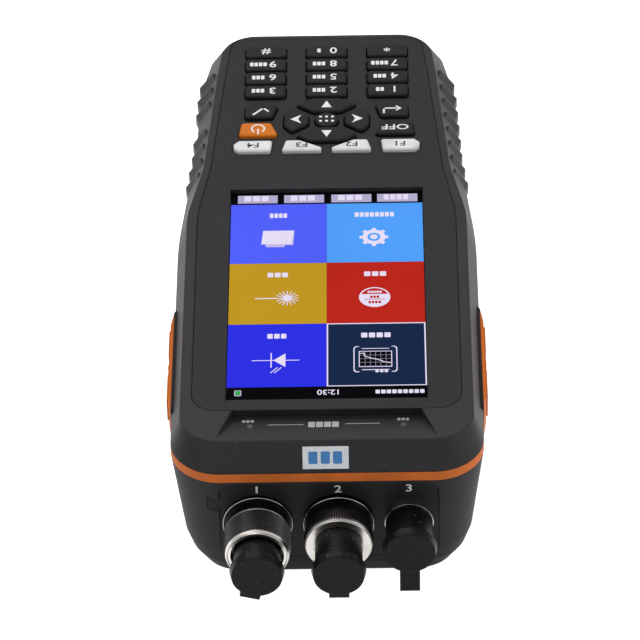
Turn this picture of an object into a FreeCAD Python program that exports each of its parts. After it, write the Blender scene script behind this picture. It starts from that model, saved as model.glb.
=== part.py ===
import FreeCAD, Part
import math
import os
import Sketcher
from FreeCAD import Placement, Rotation, Vector

# Handheld optical time domain reflectometer, lying on its back.
# X runs across the instrument, Y towards the keypad end, Z up out of the face plate.
# The origin is the middle of the flat back.

document = FreeCAD.newDocument("otdr")
sheet = document.addObject("Spreadsheet::Sheet", "Sizes")
sheet.Label = "sizes"

size_table = (
    # housing in plan
    ("body_length", 199.0, "housing, end to end"),
    ("body_half_width", 43.6, "half width beside the display, at the parting line"),
    ("near_corner_radius", 14, "plan corners at the connector end"),
    ("waist_near_y", 3.0, "where the sides start to draw in"),
    ("waist_far_y", 44.0, "where the grip starts"),
    ("waist_radius", 160.0, "blend of the waist"),
    ("grip_draw_in", 4.1, "sides drawn in at the start of the grip"),
    ("shoulder_y", 78.0, "last corner of the sides before the far end"),
    ("shoulder_draw_in", 5.4, "sides drawn in there"),
    ("shoulder_radius", 40.0, "blend there"),
    ("far_draw_in", 9.6, "sides drawn in at the far end"),
    ("far_corner_radius", 10.5, "plan corners at the far end"),
    # housing levels
    ("top_height", 45.0, "flat rim and face plate top"),
    ("front_depth", 10.2, "front case, rim down to the parting line"),
    ("belt_height", 3.1, "upright belt above the parting line"),
    ("back_round", 8.5, "rounding of the back edges"),
    ("near_round", 1.8, "the same along Y at the connector end"),
    ("side_draft", 4.2, "how far the sides draw in towards the back"),
    ("near_draft", 0.6, "the same at the connector end"),
    ("far_draft", 2.6, "the same at the far end"),
    ("wall", 2.5, "side and back walls"),
    ("end_wall", 4.2, "wall at the connector end"),
    # rim around the face plate
    ("rim_side_slope", 2.8, "flat rim's outer edge, in from the side"),
    ("rim_waist_near_y", 8.0, "its waist, near corner"),
    ("rim_waist_far_y", 30.0, "its waist, far corner"),
    ("rim_grip_slope", 3.1, "the same at the far corner of the waist"),
    ("rim_shoulder_slope", 5.3, "the same at the shoulder"),
    ("rim_far_slope", 2.8, "the same at the far end"),
    ("rim_radius", 45.0, "blend of its waist"),
    ("rim_corner_radius", 11.0, "its corners at the connector end"),
    ("near_slope_run", 5.8, "slope from the rim down to the belt, connector end"),
    ("far_slope_run", 3.0, "the same at the far end"),
    # grip ribs
    ("rib_pitch", 7.08, "spacing of the grip ribs"),
    ("rib_first_y", 26.6, "first rib"),
    ("rib_length", 3.6, "one rib along the grip"),
    ("rib_rise", 1.15, "how proud a rib's crest is"),
    ("rib_root", 1.5, "ribs let into the slope"),
    ("rib_root_rise", 0.05, "how proud its low end is"),
    ("rib_top_drop", 1.4, "upper end of the ribs, below the rim"),
    ("rib_count", 8, "ribs on each side"),
    # face plate
    ("plate_thickness", 2.5, "face plate"),
    ("plate_gap", 0.15, "play of the plate in its recess"),
    ("plate_near_y", -80.8, "its edge at the connector end"),
    ("plate_corner_radius", 7.0, "its corners there"),
    ("plate_far_margin", 1.7, "rim beyond the plate at the far end"),
    ("rim_margin", 3.0, "rim beside the plate at the display"),
    ("grip_margin", 2.0, "rim beside the plate at the waist"),
    ("shoulder_margin", 2.3, "rim beside the plate at the keypad"),
    ("plate_far_radius", 4.0, "its far corners"),
    ("plate_ledge", 2.2, "ledge of the front case that carries the plate"),
    # display
    ("screen_y", -27.5, "middle of the display"),
    ("screen_width", 56.6, "display opening"),
    ("screen_length", 94.2, "display opening"),
    ("screen_bevel", 2.5, "bevelled lip of the opening, connector end"),
    ("window_thickness", 1.0, "display window"),
    ("window_lap", 1.7, "lap of the window behind the plate"),
    ("module_thickness", 3.2, "display module"),
    ("module_lap", 3.0, "module beyond the opening, each side"),
    # ledge with the two lamps
    ("ledge_deep_half_width", 26.4, "wedge-shaped ledge, at the face plate"),
    ("ledge_near_half_width", 30.6, "the same at the connector end"),
    ("ledge_run", 11.6, "its length"),
    ("ledge_depth", 2.9, "its depth at the deep end"),
    ("lamp_x", 21.3, "lamps, either side"),
    ("lamp_y", -85.8, "lamps"),
    ("lamp_radius", 0.9, "lamp light pipes"),
    ("lamp_proud", 0.15, "light pipes above the ledge"),
    ("lamp_gap", 0.05, "light pipes in their holes"),
    ("ledge_wall", 2.6, "wall under the ledge"),
    # seam band
    ("band_depth", 2.0, "orange band let into the belt"),
    ("band_end_gap", 0.4, "band's end to the side cover's recess"),
    # side covers and the bays behind them
    ("cover_far_y", -29.5, "hinge end of the side covers"),
    ("cover_length", 44.0, "side covers"),
    ("cover_drop", 7.0, "lower edge of the side covers, below the parting line"),
    ("cover_height", 11.4, "side covers"),
    ("cover_sink", 1.9, "inner face of the side covers, in from the side"),
    ("cover_edge_proud", 0.3, "outer face at the ends, out from the side"),
    ("cover_middle_proud", 1.15, "the same between the ends"),
    ("cover_blend", 12.0, "blend of the outer face"),
    ("pad_half_height", 3.9, "finger pads"),
    ("near_pad_length", 11.8, "finger pad at the connector end"),
    ("far_pad_length", 10.5, "finger pad at the hinge end"),
    ("pad_end_margin", 6.6, "finger pads to the cover's ends"),
    ("pad_rib_length", 2.2, "rib between the pads"),
    ("pad_rib_half_height", 3.0, "rib between the pads"),
    ("cover_pad_rise", 0.45, "raised finger pads"),
    ("cover_gap", 0.3, "play around the side covers"),
    ("bay_far_inset", 5.0, "bay edge to the cover's ends"),
    ("bay_depth", 8.4, "floor of the side bays, in from the side"),
    ("bay_drop", 6.2, "lower edge of the side bays, below the parting line"),
    ("recess_corner_radius", 0.6, "corners of the covers' recesses"),
    # port panel
    ("panel_left_margin", 13.6, "black port panel to the left side"),
    ("panel_right_margin", 12.9, "black port panel to the right side"),
    ("panel_bottom", 6.8, "black port panel"),
    ("panel_top_drop", 1.0, "black port panel's top, below the parting line"),
    ("panel_radius", 3.4, "its corners"),
    ("panel_thickness", 1.8, "black port panel"),
    ("panel_inset", 0.6, "panel face behind the end of the housing"),
    ("panel_lap", 2.4, "panel's lap on the rear case"),
    ("panel_gap", 0.1, "play of the panel in its recess"),
    ("tab_width", 3.4, "small tab at the panel's left edge"),
    ("tab_height", 4.2, "the same"),
    ("tab_drop", 9.4, "the tab's lower edge, below the panel's top"),
    # optical ports
    ("port_drop", 0.5, "axes of the three ports, below the panel's middle"),
    ("otdr_x", -19.6, "test port"),
    ("opm_x", 2.9, "power meter port"),
    ("vfl_x", 22.5, "visible light port"),
    ("ferrule_radius", 1.25, "bore for a 2.5 mm ferrule"),
    ("barrel_radius", 4.0, "M8 barrel that carries the cap"),
    ("stub_radius", 5.4, "port behind the panel"),
    ("stub_length", 5.2, "port behind the panel"),
    ("stub_gap", 0.1, "play of the stub in the panel"),
    ("neck_radius", 6.0, "neck that the collar and the adapter turn on"),
    ("neck_gap", 0.05, "running fit on the neck"),
    ("flange_radius", 9.7, "test port flange"),
    ("flange_length", 1.0, "test port flange"),
    ("shoulder_ring_radius", 9.0, "test port shoulder before the flange"),
    ("collar_gap", 0.3, "shoulder to the collar, and base to the adapter"),
    ("collar_radius", 8.9, "knurled collar"),
    ("collar_edge", 0.8, "chamfer of the collar's front edge"),
    ("collar_back", 4.5, "collar's back face from the panel"),
    ("collar_front", 14.3, "collar's front face from the panel"),
    ("collar_recess_radius", 7.4, "recess in the collar's face"),
    ("collar_recess_depth", 2.5, "recess in the collar's face"),
    ("opm_flange_radius", 9.85, "power meter flange"),
    ("opm_flange_length", 1.5, "power meter flange"),
    ("opm_base_radius", 9.3, "power meter base before the flange"),
    ("opm_flat_height", 8.2, "spanner flat on the base, from the axis"),
    ("adapter_radius", 9.25, "power meter adapter"),
    ("adapter_edge", 0.4, "chamfer of the adapter's front edge"),
    ("adapter_back", 4.9, "adapter's back face from the panel"),
    ("adapter_front", 10.3, "adapter's front face from the panel"),
    ("adapter_wall", 2.0, "adapter before the neck"),
    ("vfl_ring_radius", 6.8, "ring of the visible light port"),
    ("vfl_ring_length", 1.3, "the same"),
    # dust caps
    ("cap_radius", 6.6, "cap body"),
    ("cap_head_radius", 7.6, "cap head"),
    ("cap_head_front_radius", 7.05, "cap head, front edge"),
    ("cap_head_length", 2.4, "cap head"),
    ("cap_head_flare", 0.9, "flare from the body to the head"),
    ("cap_front_wall", 2.6, "closed end of the cap"),
    ("cap_bore_gap", 0.06, "cap on the barrel"),
    ("cap_seat_gap", 0.3, "cap's back edge to what it faces"),
    ("cap_floor_gap", 0.5, "barrel's end to the cap's floor"),
    ("cap_tab_width", 5.6, "pull tab"),
    ("cap_tab_thickness", 1.2, "pull tab"),
    ("cap_tab_lap", 0.6, "pull tab's root in the head"),
    ("cap_tab_back", 0.8, "pull tab behind the cap's face"),
    ("cap_tab_drop", 7.2, "hanging pull tab, below the head"),
    ("cap_tab_fold", 7.0, "folded pull tab, along the cap"),
    ("otdr_cap_front", 22.8, "cap faces from the panel"),
    ("opm_cap_front", 22.8, "the same"),
    ("vfl_cap_front", 13.9, "the same"),
    ("otdr_tab_turn", 15.0, "turn of the test port's cap"),
    # keys
    ("key_proud", 1.2, "keys above the face plate"),
    ("key_travel_room", 1.2, "free space under a key"),
    ("key_body_height", 4.6, "keys, foot to top"),
    ("key_gap", 0.3, "keys in the face plate"),
    ("key_edge", 0.45, "chamfer of a key's top"),
    ("key_column", 18.45, "spacing of the number columns"),
    ("key_row", 6.75, "spacing of the number rows"),
    ("key_near_row_y", 66.75, "first number row"),
    ("key_width", 12.2, "number keys"),
    ("key_depth", 5.9, "number keys"),
    ("key_corner", 1.1, "number keys' corners"),
    ("cluster_y", 52.2, "middle of the arrow keys"),
    ("leaf_reach", 10.7, "arrow keys' outer edge from the middle, along Y"),
    ("side_leaf_reach", 12.8, "arrow keys' outer edge from the middle, across"),
    ("centre_hole_radius", 3.8, "hole of the centre key"),
    ("leaf_inner_y", 3.8, "arrow keys' inner edge from the middle, along Y"),
    ("enter_key_x", 19.6, "enter and escape keys"),
    ("power_key_x", 20.3, "power and off keys"),
    ("outer_function_x", 22.1, "outer function keys"),
    ("inner_function_x", 7.3, "inner function keys"),
    ("function_key_y", 39.5, "middle of the function keys"),
    ("function_key_depth", 5.2, "function keys"),
    ("upper_key_y", 56.55, "middle of the enter and escape keys"),
    ("lower_key_y", 47.7, "middle of the power and off keys"),
    ("side_key_depth", 6.3, "these four keys"),
    # keypad behind the plate
    ("sheet_thickness", 1.3, "rubber sheet under the keys"),
    ("keypad_board_thickness", 1.6, "contact board"),
    ("keypad_near_y", 33.5, "contact board's near edge"),
    ("keypad_far_y", 90.5, "contact board's far edge"),
    ("keypad_near_gap", 2.8, "its near corners to the front case"),
    ("keypad_far_gap", 2.0, "its far corners to the front case"),
    # inside
    ("board_side_gap", 2.6, "main board to the side bays"),
    ("board_end_gap", 0.5, "main board to the screw bosses"),
    ("board_drop", 8.2, "underside of the main board, below the parting line"),
    ("board_thickness", 1.6, "main board"),
    ("post_width", 5.0, "posts that carry the main board"),
    ("post_root", 0.4, "posts and bosses let into the back wall"),
    ("post_near_x", 30.2, "posts beside the optical engine"),
    ("post_far_x", 21.0, "posts behind the battery"),
    ("post_near_y", -74.0, "posts"),
    ("post_far_y", 60.0, "posts"),
    ("engine_width", 52.0, "optical engine"),
    ("engine_length", 45.0, "optical engine"),
    ("engine_height", 16.0, "optical engine"),
    ("engine_near_y", -78.5, "optical engine"),
    ("battery_width", 46.0, "battery pack"),
    ("battery_length", 60.0, "battery pack"),
    ("battery_room", 4.6, "free space between battery pack and main board"),
    ("door_width", 52.0, "battery door"),
    ("door_length", 70.0, "battery door"),
    ("door_thickness", 1.9, "battery door"),
    ("door_y", -1.0, "middle of the battery door"),
    ("door_lap", 2.4, "door's lap on the rear case"),
    ("door_gap", 0.15, "play of the door"),
    ("door_radius", 4.0, "door corners"),
    ("door_screw_inset", 3.6, "door screws from the door's ends"),
    ("groove_margin", 12.0, "finger grooves to the door's near end"),
    ("groove_pitch", 3.0, "finger grooves"),
    ("groove_width", 1.4, "finger grooves"),
    ("groove_half_length", 12.0, "finger grooves"),
    ("groove_depth", 0.7, "finger grooves"),
    ("usb_width", 13.1, "USB socket"),
    ("usb_height", 5.8, "USB socket"),
    ("usb_depth", 14.0, "USB socket"),
    ("usb_shell", 0.45, "USB socket's shell"),
    ("usb_y", -43.5, "USB socket"),
    ("power_width", 9.0, "power socket"),
    ("power_height", 6.1, "power socket"),
    ("power_depth", 13.0, "power socket"),
    ("power_bore_radius", 2.75, "power socket"),
    ("power_pin_radius", 1.0, "power socket"),
    ("power_y", -43.5, "power socket"),
    ("buzzer_radius", 6.0, "buzzer"),
    ("buzzer_height", 4.5, "buzzer"),
    ("buzzer_y", 48.0, "buzzer"),
    # screws
    ("screw_radius", 1.45, "case and door screws"),
    ("screw_head_radius", 2.7, "screw heads"),
    ("screw_head_height", 1.7, "screw heads"),
    ("screw_sink", 0.5, "screw heads below the back"),
    ("boss_width", 7.8, "screw bosses"),
    ("boss_near_x", 25.5, "case screws at the connector end"),
    ("boss_far_x", 20.5, "case screws at the far end"),
    ("boss_near_y", -83.5, "case screws at the connector end"),
    ("boss_far_y", 80.0, "case screws at the far end"),
    ("screw_bite", 1.9, "case screws beyond the parting line"),
    ("screw_tip_gap", 0.3, "case screws' tips in their holes"),
    ("screw_play", 0.15, "screws in the holes they pass through"),
    ("head_play", 0.3, "screw heads in their counterbores"),
    ("door_head_height", 1.0, "door screws' heads"),
    ("door_head_floor", 0.8, "battery door under its screw heads"),
    ("lug_thickness", 2.4, "lugs that take the far case screws"),
    ("lug_lap", 1.6, "lugs' root in the front case"),
)


class Size:
    """A number together with the spreadsheet formula that gives it."""

    def __init__(self, number, formula):
        self.number = number
        self.formula = formula

    def __add__(self, other):
        other = as_size(other)
        return Size(self.number + other.number, "(%s + %s)" % (self.formula, other.formula))

    def __sub__(self, other):
        other = as_size(other)
        return Size(self.number - other.number, "(%s - %s)" % (self.formula, other.formula))

    def __mul__(self, other):
        other = as_size(other)
        return Size(self.number * other.number, "(%s * %s)" % (self.formula, other.formula))

    def __truediv__(self, other):
        other = as_size(other)
        return Size(self.number / other.number, "(%s / %s)" % (self.formula, other.formula))

    def __neg__(self):
        return as_size(0) - self

    def __radd__(self, other):
        return as_size(other) + self

    def __rsub__(self, other):
        return as_size(other) - self

    def __rmul__(self, other):
        return as_size(other) * self


def as_size(amount):
    if isinstance(amount, Size):
        return amount
    return Size(float(amount), "%.6f" % amount)


class Sheet:
    """The spreadsheet's cells, read by name as Size."""

    def __init__(self, table):
        for row, (alias, number, note) in enumerate(table, start=1):
            sheet.set("A%d" % row, alias)
            sheet.set("B%d" % row, str(number))
            sheet.set("C%d" % row, note)
            sheet.setAlias("B%d" % row, alias)
            setattr(self, alias, Size(number, "<<sizes>>." + alias))


s = Sheet(size_table)
document.recompute()


# ---- drawing and feature helpers ----

def bind(item, path, amount):
    item.setExpression(path, as_size(amount).formula)


def place(item, x, y, z):
    for axis, amount in (("x", x), ("y", y), ("z", z)):
        bind(item, "Placement.Base." + axis, amount)


def new_body(label, position=None):
    body = document.addObject("PartDesign::Body", label)
    body.Label = label
    if position:
        place(body, *position)
    return body


def new_sketch(body, role="XY_Plane", height=0):
    sketch = body.newObject("Sketcher::SketchObject", body.Label + "_sketch")
    plane = next(item for item in body.Origin.OriginFeatures if item.Role == role)
    sketch.AttachmentSupport = (plane, [""])
    sketch.MapMode = "FlatFace"
    bind(sketch, "AttachmentOffset.Base.z", height)
    return sketch


def pin(sketch, curve, point, x, y):
    """Fix one point of a sketch at formulas measured from the sketch's origin."""
    for kind, axis, amount in (("DistanceX", -2, x), ("DistanceY", -1, y)):
        amount = as_size(amount)
        if amount.formula == as_size(0).formula:
            sketch.addConstraint(Sketcher.Constraint("PointOnObject", curve, point, axis))
        else:
            rule = sketch.addConstraint(Sketcher.Constraint(kind, -1, 1, curve, point, amount.number))
            sketch.setExpression("Constraints[%d]" % rule, amount.formula)


def outline(sketch, corners):
    """A closed loop through corners (x, y, radius), each rounded by its radius."""
    count = len(corners)
    points = [Vector(as_size(x).number, as_size(y).number, 0) for x, y, _ in corners]
    radii = [as_size(radius) for _, _, radius in corners]
    starts = []
    ends = []
    for i, point in enumerate(points):
        back = (points[i - 1] - point).normalize()
        ahead = (points[(i + 1) % count] - point).normalize()
        run = radii[i].number / math.tan(back.getAngle(ahead) / 2)
        starts.append(point + back * run)
        ends.append(point + ahead * run)
    lines = []
    for i in range(count):
        line = Part.LineSegment(ends[i], starts[(i + 1) % count])
        lines.append(sketch.addGeometry(line, False))
    for i, point in enumerate(points):
        before = lines[i - 1]
        after = lines[i]
        x, y, _ = corners[i]
        if radii[i].number == 0:
            sketch.addConstraint(Sketcher.Constraint("Coincident", before, 2, after, 1))
            pin(sketch, after, 1, x, y)
            continue
        chord_middle = (starts[i] + ends[i]) / 2
        reach = (point - chord_middle).Length
        radius = radii[i].number
        run = (starts[i] - point).Length
        rise = math.hypot(radius, run) - radius
        middle = point + (chord_middle - point) * (rise / reach)
        arc = sketch.addGeometry(Part.Arc(starts[i], middle, ends[i]), False)
        first = sketch.getPoint(arc, 1)
        near, far = (1, 2) if (first - starts[i]).Length < (first - ends[i]).Length else (2, 1)
        sketch.addConstraint(Sketcher.Constraint("Tangent", before, 2, arc, near))
        sketch.addConstraint(Sketcher.Constraint("Tangent", arc, far, after, 1))
        rule = sketch.addConstraint(Sketcher.Constraint("Radius", arc, radius))
        sketch.setExpression("Constraints[%d]" % rule, radii[i].formula)
        corner = sketch.addGeometry(Part.Point(point), True)
        sketch.addConstraint(Sketcher.Constraint("PointOnObject", corner, 1, before))
        sketch.addConstraint(Sketcher.Constraint("PointOnObject", corner, 1, after))
        pin(sketch, corner, 1, x, y)


def circle(sketch, x, y, radius):
    x, y, radius = as_size(x), as_size(y), as_size(radius)
    centre = Vector(x.number, y.number, 0)
    curve = sketch.addGeometry(Part.Circle(centre, Vector(0, 0, 1), radius.number), False)
    pin(sketch, curve, 3, x, y)
    rule = sketch.addConstraint(Sketcher.Constraint("Radius", curve, radius.number))
    sketch.setExpression("Constraints[%d]" % rule, radius.formula)


def rectangle(x0, y0, x1, y1, radius=0):
    return [(x0, y0, radius), (x1, y0, radius), (x1, y1, radius), (x0, y1, radius)]


def solid_feature(body, kind, sketch, **settings):
    feature = body.newObject("PartDesign::" + kind, body.Label + "_" + kind.lower())
    feature.Profile = sketch
    for name, amount in settings.items():
        if isinstance(amount, Size):
            bind(feature, name, amount)
        else:
            setattr(feature, name, amount)
    sketch.Visibility = False
    return feature


def pad(body, sketch, length, **settings):
    return solid_feature(body, "Pad", sketch, Length=as_size(length), **settings)


def pocket(body, sketch, length, **settings):
    return solid_feature(body, "Pocket", sketch, Length=as_size(length), **settings)


def loft(body, kind, lower, upper):
    return solid_feature(body, kind, lower, Sections=[upper], Ruled=True)


def turn(body, sketch, kind="Revolution"):
    """Revolve a sketch of the XY plane about the body's own Y axis."""
    return solid_feature(body, kind, sketch, ReferenceAxis=(sketch, ["V_Axis"]), Angle=360.0)


def mirror(body, features):
    """Repeat features of the right side on the left side."""
    document.recompute()
    copy = body.newObject("PartDesign::Mirrored", body.Label + "_mirrored")
    copy.Originals = features
    plane = next(item for item in body.Origin.OriginFeatures if item.Role == "YZ_Plane")
    copy.MirrorPlane = (plane, [""])
    body.Tip = copy
    return copy


def edge_feature(body, kind, amount_name, amount, chosen):
    """Fillet or chamfer those edges of the body's last feature that pass a test."""
    document.recompute()
    base = body.Tip
    names = ["Edge%d" % (i + 1) for i, edge in enumerate(base.Shape.Edges) if chosen(edge)]
    feature = body.newObject("PartDesign::" + kind, body.Label + "_" + kind.lower())
    feature.Base = (base, names)
    bind(feature, amount_name, amount)
    return feature


def at_height(height, tolerance=1e-4):
    """An edge test: the whole edge lies at one height above the body's origin."""
    def chosen(edge):
        box = edge.BoundBox
        return abs(box.ZMin - height.number) < tolerance and abs(box.ZMax - height.number) < tolerance
    return chosen


def box(label, x0, y0, z0, width, length, height):
    item = document.addObject("Part::Box", label)
    item.Label = label
    for name, amount in (("Width", length), ("Length", width), ("Height", height)):
        bind(item, name, amount)
    place(item, x0, y0, z0)
    return item


def cylinder(label, x, y, z, radius, height):
    item = document.addObject("Part::Cylinder", label)
    item.Label = label
    bind(item, "Radius", radius)
    bind(item, "Height", height)
    place(item, x, y, z)
    return item


def join(label, pieces):
    item = document.addObject("Part::MultiFuse", label)
    item.Label = label
    item.Shapes = pieces
    return item


# ---- outlines of the housing, right half, connector end first ----

near_y = -s.body_length / 2
far_y = s.body_length / 2
panel_y = near_y + s.panel_inset
parting_height = s.top_height - s.front_depth
belt_top = parting_height + s.belt_height
plate_bottom = s.top_height - s.plate_thickness
grip_half_width = s.body_half_width - s.grip_draw_in
shoulder_half_width = s.body_half_width - s.shoulder_draw_in
far_half_width = s.body_half_width - s.far_draw_in
rim_half_width = s.body_half_width - s.rim_side_slope
rim_grip_half_width = grip_half_width - s.rim_grip_slope
rim_shoulder_half_width = shoulder_half_width - s.rim_shoulder_slope
cover_bottom = parting_height - s.cover_drop
cover_inner_x = s.body_half_width - s.cover_sink
cover_edge_x = s.body_half_width + s.cover_edge_proud
cover_near_y = s.cover_far_y - s.cover_length
bay_inner_x = s.body_half_width - s.bay_depth
panel_left_x = s.panel_left_margin - s.body_half_width
panel_right_x = s.body_half_width - s.panel_right_margin
panel_top = parting_height - s.panel_top_drop
tab_bottom = panel_top - s.tab_drop
port_height = (s.panel_bottom + panel_top) / 2 - s.port_drop
board_height = parting_height - s.board_drop
board_top = board_height + s.board_thickness
screw_tip = parting_height + s.screw_bite

parting = [
    (s.body_half_width, near_y, s.near_corner_radius),
    (s.body_half_width, s.waist_near_y, s.waist_radius),
    (grip_half_width, s.waist_far_y, s.waist_radius),
    (shoulder_half_width, s.shoulder_y, s.shoulder_radius),
    (far_half_width, far_y, s.far_corner_radius),
]
rim = [
    (rim_half_width, near_y + s.near_slope_run, s.rim_corner_radius),
    (rim_half_width, s.rim_waist_near_y, s.rim_radius),
    (rim_grip_half_width, s.rim_waist_far_y, s.rim_radius),
    (rim_shoulder_half_width, s.shoulder_y, s.shoulder_radius),
    (far_half_width - s.rim_far_slope, far_y - s.far_slope_run, s.far_corner_radius),
]
margins = (s.rim_margin, s.rim_margin, s.grip_margin, s.shoulder_margin, s.shoulder_margin)
plate = [(x - margin, y, radius) for (x, y, radius), margin in zip(rim, margins)]
plate[0] = (plate[0][0], s.plate_near_y, s.plate_corner_radius)
plate[-1] = (plate[-1][0], plate[-1][1] - s.plate_far_margin, s.plate_far_radius)
back = [(x - s.side_draft, y, radius) for x, y, radius in parting]
back[0] = (back[0][0], near_y + s.near_draft, s.near_corner_radius)
back[-1] = (back[-1][0], far_y - s.far_draft, s.far_corner_radius)


def inset(half, side, near_end, far_end, ease=0):
    """Draw an outline in, and its end corners' radii with it."""
    moved = [(x - side, y, radius) for x, y, radius in half]
    x, y, radius = half[0]
    moved[0] = (x - side, y + near_end, radius - ease)
    x, y, radius = half[-1]
    moved[-1] = (x - side, y - far_end, radius - ease)
    return moved


def blend(lower, upper, share):
    """The outline part of the way from one to the other."""
    return [
        tuple(as_size(a) + (as_size(b) - as_size(a)) * share for a, b in zip(first, second))
        for first, second in zip(lower, upper)
    ]


def both_sides(half):
    return list(half) + [(-x, y, radius) for x, y, radius in reversed(half)]


def half_width_at(half, y):
    """Half width of an outline at y, between its corners."""
    for (x0, y0, _), (x1, y1, _) in zip(half, half[1:]):
        if y.number <= as_size(y1).number:
            return x0 + (x1 - x0) * (y - y0) / (y1 - y0)
    return half[-1][0]


def layer(body, half, height, cut=False):
    sketch = new_sketch(body, height=height)
    corners = both_sides(half)
    outline(sketch, cut_corners(corners, 1.0) if cut else corners)
    return sketch


def cut_corners(corners, share):
    """Cut each corner straight, the given share of the way to where its rounding ends."""
    cut = []
    points = [Vector(as_size(x).number, as_size(y).number, 0) for x, y, _ in corners]
    for i, (x, y, radius) in enumerate(corners):
        back = (points[i - 1] - points[i]).normalize()
        ahead = (points[(i + 1) % len(points)] - points[i]).normalize()
        run = as_size(radius) * (share / math.tan(back.getAngle(ahead) / 2))
        cut.append((x + run * back.x, y + run * back.y, 0))
        cut.append((x + run * ahead.x, y + run * ahead.y, 0))
    return cut


# ---- key outlines, each about the key's own middle ----

def mirrored_outline(corners):
    return [(-x, y, radius) for x, y, radius in reversed(corners)]


def turned_outline(corners):
    return [(-x, -y, radius) for x, y, radius in corners]


half_depth = s.side_key_depth / 2
function_half = s.function_key_depth / 2
leaf_inner = s.leaf_inner_y
far_leaf = [
    (-4.0, leaf_inner, 0.8), (4.0, leaf_inner, 0.8), (9.2, s.leaf_reach - 3.1, 0.8),
    (5.0, s.leaf_reach, 5.0), (-5.0, s.leaf_reach, 5.0), (-9.2, s.leaf_reach - 3.1, 0.8),
]
right_leaf = [
    (5.4, -2.1, 0.8), (10.5, -5.9, 0.9), (s.side_leaf_reach, -3.0, 3.0),
    (s.side_leaf_reach, 3.0, 3.0), (10.5, 5.9, 0.9), (5.4, 2.1, 0.8),
]
upper_side = [
    (-3.3, -half_depth, 0.9), (4.9, -half_depth, 0.9), (4.7, half_depth, 1.4), (-5.0, half_depth, 0.9),
]
lower_side = [
    (-5.8, -half_depth, 0.9), (6.0, -half_depth, 0.9), (5.2, half_depth, 0.9), (-3.6, half_depth, 0.9),
]
inner_function = [
    (-5.7, -0.9, 0.7), (-5.8, -function_half, 0.7), (6.1, -function_half, 0.7),
    (4.9, function_half, 0.7), (0.6, function_half, 1.5),
]
outer_function = [
    (-5.3, -function_half, 0.7), (5.6, -function_half, 2.3), (5.6, function_half, 2.3),
    (-5.9, function_half, 0.7),
]
number_key = rectangle(-s.key_width / 2, -s.key_depth / 2, s.key_width / 2, s.key_depth / 2, s.key_corner)

keys = {}
for row, names in enumerate((("3", "2", "1"), ("6", "5", "4"), ("9", "8", "7"), ("hash", "0", "star"))):
    for column, name in enumerate(names):
        keys["key_" + name] = (s.key_column * (column - 1), s.key_near_row_y + s.key_row * row, number_key)
keys["key_enter"] = (-s.enter_key_x, s.upper_key_y, mirrored_outline(upper_side))
keys["key_escape"] = (s.enter_key_x, s.upper_key_y, upper_side)
keys["key_power"] = (-s.power_key_x, s.lower_key_y, mirrored_outline(lower_side))
keys["key_off"] = (s.power_key_x, s.lower_key_y, lower_side)
keys["key_down"] = (0, s.cluster_y, far_leaf)
keys["key_up"] = (0, s.cluster_y, turned_outline(far_leaf))
keys["key_left"] = (0, s.cluster_y, right_leaf)
keys["key_right"] = (0, s.cluster_y, turned_outline(right_leaf))
keys["key_function_1"] = (s.outer_function_x, s.function_key_y, outer_function)
keys["key_function_2"] = (s.inner_function_x, s.function_key_y, inner_function)
keys["key_function_3"] = (-s.inner_function_x, s.function_key_y, mirrored_outline(inner_function))
keys["key_function_4"] = (-s.outer_function_x, s.function_key_y, mirrored_outline(outer_function))
keys = {name: (x, y, cut_corners(corners, 0.65)) for name, (x, y, corners) in keys.items()}


def grown(corners, gap):
    """Move every side of a counter-clockwise outline outwards by the gap."""
    points = [(as_size(x).number, as_size(y).number) for x, y, _ in corners]
    moved = []
    for i, (x, y, radius) in enumerate(corners):
        normals = []
        for a, b in ((points[i - 1], points[i]), (points[i], points[(i + 1) % len(points)])):
            length = math.hypot(b[0] - a[0], b[1] - a[1])
            normals.append(((b[1] - a[1]) / length, (a[0] - b[0]) / length))
        (ax, ay), (bx, by) = normals
        share = 1 + ax * bx + ay * by
        moved.append((x + gap * ((ax + bx) / share), y + gap * ((ay + by) / share), radius))
    return moved


def shifted(corners, x, y):
    return [(x + cx, y + cy, radius) for cx, cy, radius in corners]


# ---- housing ----

def side_recess(body):
    """Recess for a side cover, cut from the side down to its inner face, right side."""
    sketch = new_sketch(body, "YZ_Plane", s.body_half_width + 4)
    y0 = cover_near_y - s.cover_gap
    y1 = s.cover_far_y + s.cover_gap
    z0 = cover_bottom - s.cover_gap
    z1 = cover_bottom + s.cover_height + s.cover_gap
    outline(sketch, rectangle(y0, z0, y1, z1, s.recess_corner_radius))
    return pocket(body, sketch, 4 + s.cover_sink + s.cover_gap)


def tub(body, kind, side, near_end, steps, cut=False):
    """Drafted tub below the parting line, rounded at the back, drawn in by the wall."""
    radius = s.back_round - side
    rounded = []
    for i in range(steps + 1):
        angle = math.pi / 2 * i / steps
        level = s.back_round - radius * math.cos(angle)
        round_in = radius * (1 - math.sin(angle))
        draw = side + round_in
        near_draw = near_end + round_in * (s.near_round / s.back_round)
        half = blend(back, parting, level / parting_height)
        rounded.append(layer(body, inset(half, draw, near_draw, draw, draw), level, cut))
    solid_feature(body, kind, rounded[0], Sections=rounded[1:], Ruled=True)
    shoulder = blend(back, parting, s.back_round / parting_height)
    upper = [layer(body, inset(half, side, near_end, side, side), height, cut)
             for half, height in ((shoulder, s.back_round), (parting, parting_height))]
    return loft(body, kind, *upper)


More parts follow.
